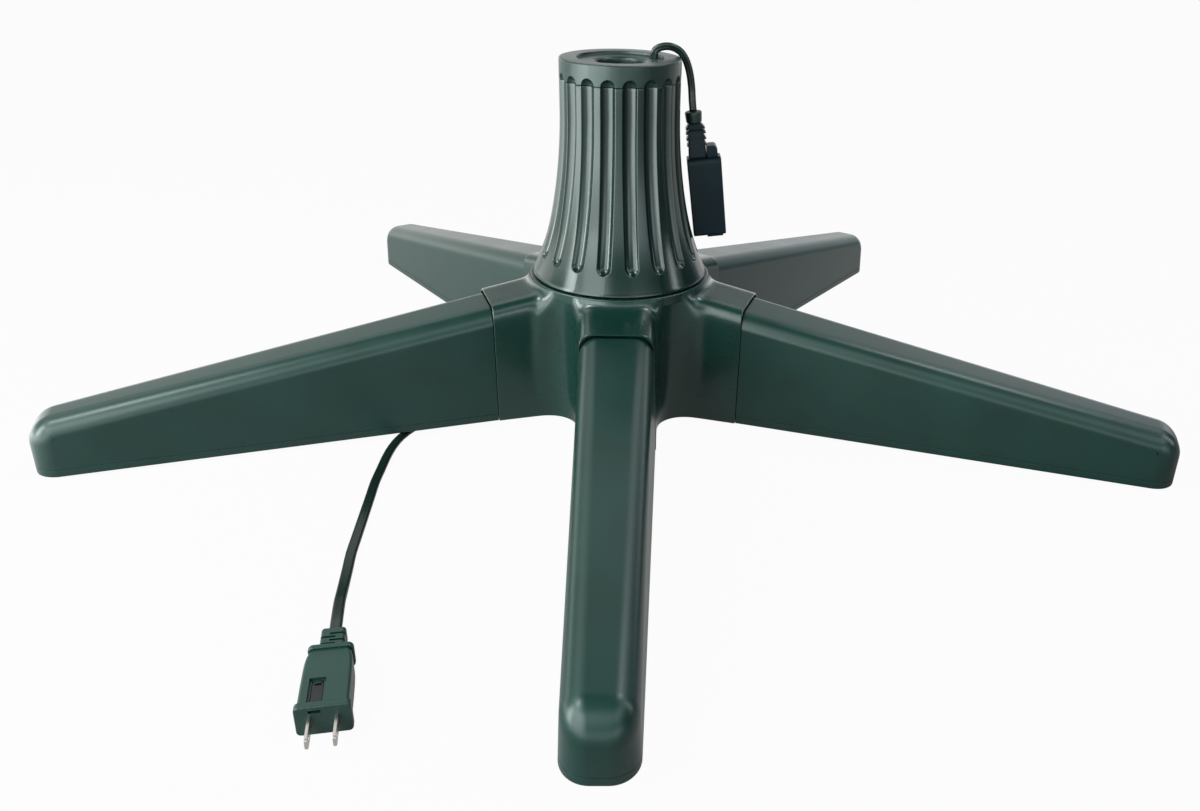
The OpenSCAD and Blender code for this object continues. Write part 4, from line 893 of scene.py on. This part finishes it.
outlet_half, outlet_l, cover_y, seam_y, back_half, back_y = 12.2, 58, -10, 4.6, 11.7, 9.4
slot_rows, slot_out, slot_half_w, slot_half_h, slot_y = (-47, -29, -11), 6.35, 0.95, 4, -4
face_half_w, face_half_h = 9.5, 7.6
top_corner, foot_corner = 4.2, 1.6
cover = box("outlet_moulding", (-outlet_half, cover_y, -outlet_l), (outlet_half, seam_y, 0))
choose(cover, "FACE", lambda f, c: c.z > -1)
squeeze((1.03, 1, 1), (0, 0, 0))
choose(cover, "EDGE", lambda e, c: c.z > -1 and c.y < cover_y + 0.5)
bevel(top_corner, 8)
choose(cover, "EDGE", lambda e, c: c.z < 1 - outlet_l and c.y < cover_y + 0.5)
bevel(foot_corner, 4)
alone_none()
rounded(cover, 1.0, 3, 60)
back = box("back", (-back_half, seam_y - 0.4, 0.4 - outlet_l), (back_half, back_y, -0.5))
rounded(back, 1.0, 3)
faces = [rounded(box("face", (-face_half_w, back_y - 0.4, z - face_half_h),
                     (face_half_w, back_y + 0.6, z + face_half_h)), 0.45, 2) for z in slot_rows]
slots = together([box("slot", (x - slot_half_w, slot_y, z - slot_half_h),
                      (x + slot_half_w, 12, z + slot_half_h))
                  for z in slot_rows for x in (-slot_out, slot_out)])
rear = together([back] + faces)
twin_slots = copy(slots, "slots")
carve(rear, slots)
carve(cover, twin_slots)

# on the top a hump and the relief, with a square core, three ribs and a wider crown; a tab below
hump = box("hump", (2.6, -6.5, -1.5), (10.4, 6.5, 8))
choose(hump, "EDGE", lambda e, c: c.z > 7 and c.x > 9)
bevel(3, 5)
alone_none()
rounded(hump, 0.8, 2)
tab = rounded(box("tab", (-2, -9, -59.3), (10, -2, -57)), 0.5, 2)
rib_x, rib_h = -4.2, 2.3
core = box("core", (-9.8, -4.2, -1), (1.4, 4.2, 20))
choose(core, "FACE", lambda f, c: c.z < 0)
squeeze((1.2, 1.2, 1), (rib_x, 0, 0))
alone_none()
rounded(core, 1.2, 3)
ribs = []
for z, wide in ((8.3, 7.4), (12.6, 7.5), (16.9, 7.5)):
    rib = box("rib", (rib_x - wide, -5, z), (rib_x + wide, 5, z + rib_h))
    choose(rib, "FACE", lambda f, c: c.z > z + 2)
    squeeze((0.86, 0.88, 1), (rib_x, 0, 0))
    alone_none()
    ribs.append(rounded(rib, 0.5, 2, 40))
crown = box("crown", (-11.7, -5.2, 20.4), (3.1, 5.2, relief_l))
choose(crown, "FACE", lambda f, c: c.z > 24)
squeeze((0.62, 0.75, 1), (relief_x, 0, 0))
alone_none()
rounded(crown, 0.7, 2, 30)
neck = box("neck", (-9, -3.6, 19), (-0.6, 3.6, 21))
outlet = together([cover, rear, hump, tab, core, neck, crown] + ribs)
soften(outlet, 40)
outlet_dark = moulded("outlet_dark_plastic", (0.0015, 0.012, 0.018), 0.34, 0.08, 1200)
shader_of(outlet_dark).inputs["Specular IOR Level"].default_value = 0.2
coat(outlet, outlet_dark)
put(outlet, outlet_at, (0, outlet_lean, 0))
outlet.name = outlet.data.name = "outlet_moulding"
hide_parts("outlet_block")
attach(outlet, "turntable")

collar = turned("collar_moulding", [(4.6, 24.45), (5.3, 24.7), (5.7, 25.4), (6.1, 30.6), (6.15, 31.6),
                                    (5.9, 32.2), (5.3, 32.55), (3.4, 32.6)])
soften(collar, 40)
collar.location.x = relief_x / 1000
settle(collar)
collar_green = moulded("collar_green_plastic", (0.008, 0.022, 0.02), 0.42, 0.3, 1400)
coat(collar, collar_green)
put(collar, outlet_at, (0, outlet_lean, 0))
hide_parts("cord_collar")
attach(collar, "turntable")

# ---- Plug
# The power cord's plug, moulded in the same dark green: ribbed relief, two flanges, a shouldered
# body with a sliding black fuse door in its face, and two nickelled blades.

root_half_w, root_half_t, body_end = 8.6, 5.9, 60.6
blade_out, blade_half_t, blade_half_w, blade_end, blade_hole_r = 6.35, 0.75, 3.175, 80.5, 1.6
notch_half, notch_round = 0.75, 0.35
body = box("body", (18.2, -root_half_w, -root_half_t), (body_end, root_half_w, root_half_t))
shoulder = [(20, 9.7, 6.5), (22, 10.55, 6.95), (25, 11.2, 7.25), (29, 11.6, 7.42), (35, 11.85, 7.5),
            (45, 12, 7.5)]
for x, half_w, half_t in shoulder:
    choose(body, "FACE", lambda f, c: True)
    bpy.ops.mesh.bisect(plane_co=(x / 1000, 0, 0), plane_no=(1, 0, 0))
for x, half_w, half_t in shoulder + [(body_end, 12.05, 7.5)]:
    choose(body, "VERT", lambda v, c: abs(c.x - x) < 0.01)
    squeeze((1, half_w / root_half_w, half_t / root_half_t), (x, 0, 0))
choose(body, "EDGE", lambda e, c: abs(c.y) > 7 and abs(c.z) > 5
       and abs(e.verts[0].co.x - e.verts[1].co.x) > 0.001)
bevel(1.7, 4)
alone_none()
first_flange = box("first_flange", (16, -11.35, -7.55), (19, 11.35, 7.55))
last_flange = box("last_flange", (60, -13.25, -8.5), (64.5, 13.25, 8.5))
for flange, corner in ((first_flange, 3), (last_flange, 2.4)):
    choose(flange, "EDGE", lambda e, c: abs(c.y) > 11 and abs(c.z) > 7)
    bevel(corner, 5)
    alone_none()
    rounded(flange, 0.8, 3)

# the sleeve round the lead is notched from both sides in turn, so that it bends
sleeve = box("sleeve", (0, -6.25, -5), (16.5, 6.25, 5))
choose(sleeve, "EDGE", lambda e, c: abs(c.y) > 6 and abs(c.z) > 4)
bevel(1.8, 4)
alone_none()
rounded(sleeve, 0.7, 2, 60)
for x, s in ((5, 1), (7.7, -1), (10.4, 1), (13.1, -1)):
    inner, outer = sorted((-1.5 * s, 7 * s))
    for low, high in ((-6, -3.2), (3.2, 6)):
        notch = box("notch", (x - notch_half, inner, low), (x + notch_half, outer, high))
        carve(sleeve, rounded(notch, notch_round, 2))
    inner, outer = sorted((5 * s, 8 * s))
    carve(sleeve, box("notch", (x - notch_half, inner, -6), (x + notch_half, outer, 6)))

# the fuse door slides in a channel, at the bottom of a recess and over the fuse's bay
recess = box("recess", (42.5, -7.4, 6.1), (59.2, 0.2, 12))
choose(recess, "FACE", lambda f, c: c.z > 11)
squeeze((1.12, 1.2, 1), (50.85, -3.6, 0))
alone_none()
channel = box("channel", (43.3, -6.5, 4.7), (66.1, -0.7, 6.3))
bay = box("bay", (44.5, -6.7, -0.9), (62, -0.5, 4.9))
carve(body, recess)
carve(body, copy(channel, "channel_again"))
carve(body, bay)
carve(last_flange, channel)


def bar(name, start, end, y):
    """A bar with a blade's section."""
    return box(name, (start, y - blade_half_t, -blade_half_w), (end, y + blade_half_t, blade_half_w))


for y in (-blade_out, blade_out):
    carve(last_flange, bar("blade_slot", 55, 66, y))
    carve(body, bar("blade_slot", 55, 62, y))
plug = together([body, first_flange, last_flange, sleeve])
soften(plug, 35)
plug_green = moulded("plug_green_plastic", (0.009, 0.042, 0.033), 0.34, 0.35, 1600)
coat(plug, plug_green)
put(plug, plug_at, (0, 0, plug_az))
plug.name = plug.data.name = "plug_moulding"
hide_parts("plug_body")
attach(plug, "base")

door = box("door", (43.7, -6.3, 4.8), (58.7, -0.9, 6.0))
rounded(door, 0.25, 2)
ridge = rounded(box("ridge", (44.2, -5.3, 5.8), (45.7, -1.9, 6.8)), 0.3, 2)
door = together([door, ridge])
soften(door, 35)
door_black = moulded("door_black_plastic", (0.003, 0.004, 0.004), 0.34, 0.2, 1500)
coat(door, door_black)
put(door, plug_at, (0, 0, plug_az))
door.name = door.data.name = "door_moulding"
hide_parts("fuse_door")
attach(door, "fuse_door")

blades = []
for y in (-blade_out, blade_out):
    blade = bar("blade", 61.5, blade_end, y)
    choose(blade, "EDGE", lambda e, c: c.x > blade_end - 0.5 and abs(c.z) > 3)
    bevel(1.9, 2)
    alone_none()
    pin = rod("pin", blade_hole_r, -4, 4, sides=32)
    pin.rotation_euler = (math.radians(90), 0, 0)
    pin.location = ((blade_end - 4.6) / 1000, y / 1000, 0)
    settle(pin)
    carve(blade, pin)
    blades.append(rounded(blade, 0.2, 2))
blades = together(blades)
soften(blades, 35)


def metal(name, color, roughness, grain):
    """Bare or plated metal with fine drawn lines and small changes in shine."""
    m = material(name, color, roughness)
    shader = shader_of(m).inputs
    shader["Metallic"].default_value = 1.0
    place = node(m, "ShaderNodeTexCoord")
    stretch = node(m, "ShaderNodeMapping")
    stretch.inputs["Scale"].default_value = grain
    lines = node(m, "ShaderNodeTexNoise", Scale=900.0, Detail=3.0)
    bump = node(m, "ShaderNodeBump", Strength=0.12, Distance=0.0001)
    link(m, place.outputs["Object"], stretch.inputs["Vector"])
    link(m, stretch.outputs["Vector"], lines.inputs["Vector"])
    shine = slope(m, lines.outputs["Fac"], 0.0, 1.0, roughness - 0.08, roughness + 0.1)
    link(m, shine, shader["Roughness"])
    link(m, lines.outputs["Fac"], bump.inputs["Height"])
    link(m, bump.outputs["Normal"], shader["Normal"])
    return m


blade_nickel = metal("blade_nickel", (0.55, 0.52, 0.48), 0.3, (1, 0.1, 1))
coat(blades, blade_nickel)
put(blades, plug_at, (0, 0, plug_az))
blades.name = blades.data.name = "blades_plated"
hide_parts("plug_blades")
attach(blades, "base")

# ---- Strain relief
# A black-green moulded relief in the hub's back wall, held by its own nut inside: a flange, then
# a ribbed taper of 18 mm that lets the flat lead bend gently.

relief = turned("relief_moulding", [
    (6.6, 58.44), (7.5, 58.9), (7.5, 60.7), (6.9, 61.14), (5.4, 61.14), (5.4, 66.84), (7.4, 66.86),
    (8, 67.3), (8, 69.3), (7.5, 69.84), (6.4, 69.9), (6.3, 71.5), (5.0, 71.6), (5.0, 72.8), (6.1, 72.9),
    (6.0, 74.5), (4.8, 74.6), (4.8, 75.8), (5.8, 75.9), (5.65, 77.6), (4.6, 77.7), (4.6, 78.9),
    (5.4, 79.0), (5.2, 80.7), (4.4, 80.8), (4.4, 81.9), (5.0, 82.0), (4.8, 84.4), (4.3, 85)], 48)
rounded(relief, 0.2, 2, 40)
soften(relief, 40)
coat(relief, collar_green)
put(relief, (0, 0, exit_z), (-90, 0, 0))
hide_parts("strain_relief")
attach(relief, "base")

# ---- Works inside the hub and the column
# Bearing, gears, motor, slip rings, plate and socket keep their drawn shapes. Steel parts are
# turned, ground, pressed or zinc plated, gears and bushings are acetal, conductors are brass or
# copper.


def dress(m, *names):
    """Gives drawn parts their finish."""
    for name in names:
        coat(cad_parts[name], m)


dress(hub_green, "hub_bottom_cover")
dress(moulded("tube_green_plastic", (0.006, 0.018, 0.015), 0.28, 0.15, 900), "pole_tube")
dress(metal("zinc_plate", (0.5, 0.52, 0.54), 0.3, (1, 1, 1)), "socket_screws", "column_screws",
      "cover_screws", "motor_screws")
dress(metal("motor_can", (0.46, 0.47, 0.48), 0.34, (0.1, 1, 1)), "motor")
dress(metal("turned_steel", (0.5, 0.5, 0.52), 0.24, (1, 1, 0.05)), "motor_shaft", "spindle")
dress(metal("ground_steel", (0.55, 0.56, 0.58), 0.18, (1, 1, 0.2)), "lower_race", "upper_race",
      "bearing_balls")
dress(metal("pressed_plate", (0.36, 0.37, 0.39), 0.38, (1, 0.3, 1)), "turntable_plate")
dress(metal("spring_steel", (0.12, 0.12, 0.13), 0.4, (1, 1, 1)), "spindle_clip")
dress(metal("ring_brass", (0.62, 0.42, 0.17), 0.26, (1, 1, 0.1)), "slip_rings", "outlet_contacts")
dress(metal("brush_copper", (0.4, 0.2, 0.12), 0.5, (1, 1, 1)), "contact_brushes")
dress(moulded("acetal_white", (0.66, 0.63, 0.55), 0.34, 0.08, 700), "drive_gear", "pinion")
dress(moulded("acetal_cream", (0.58, 0.52, 0.38), 0.34, 0.08, 700), "upper_bushing", "lower_bushing",
      "ball_cage")
dress(moulded("insulator_black", (0.012, 0.012, 0.013), 0.36, 0.1, 900), "slip_ring_drum",
      "brush_holder")
dress(moulded("lead_sheath", (0.009, 0.009, 0.01), 0.3, 0.05, 1200), "hub_leads", "outlet_lead")
fuse_glass = moulded("fuse_glass", (0.8, 0.85, 0.85), 0.08, 0.02, 500)
shader_of(fuse_glass).inputs["Transmission Weight"].default_value = 0.85
dress(fuse_glass, "plug_fuses")
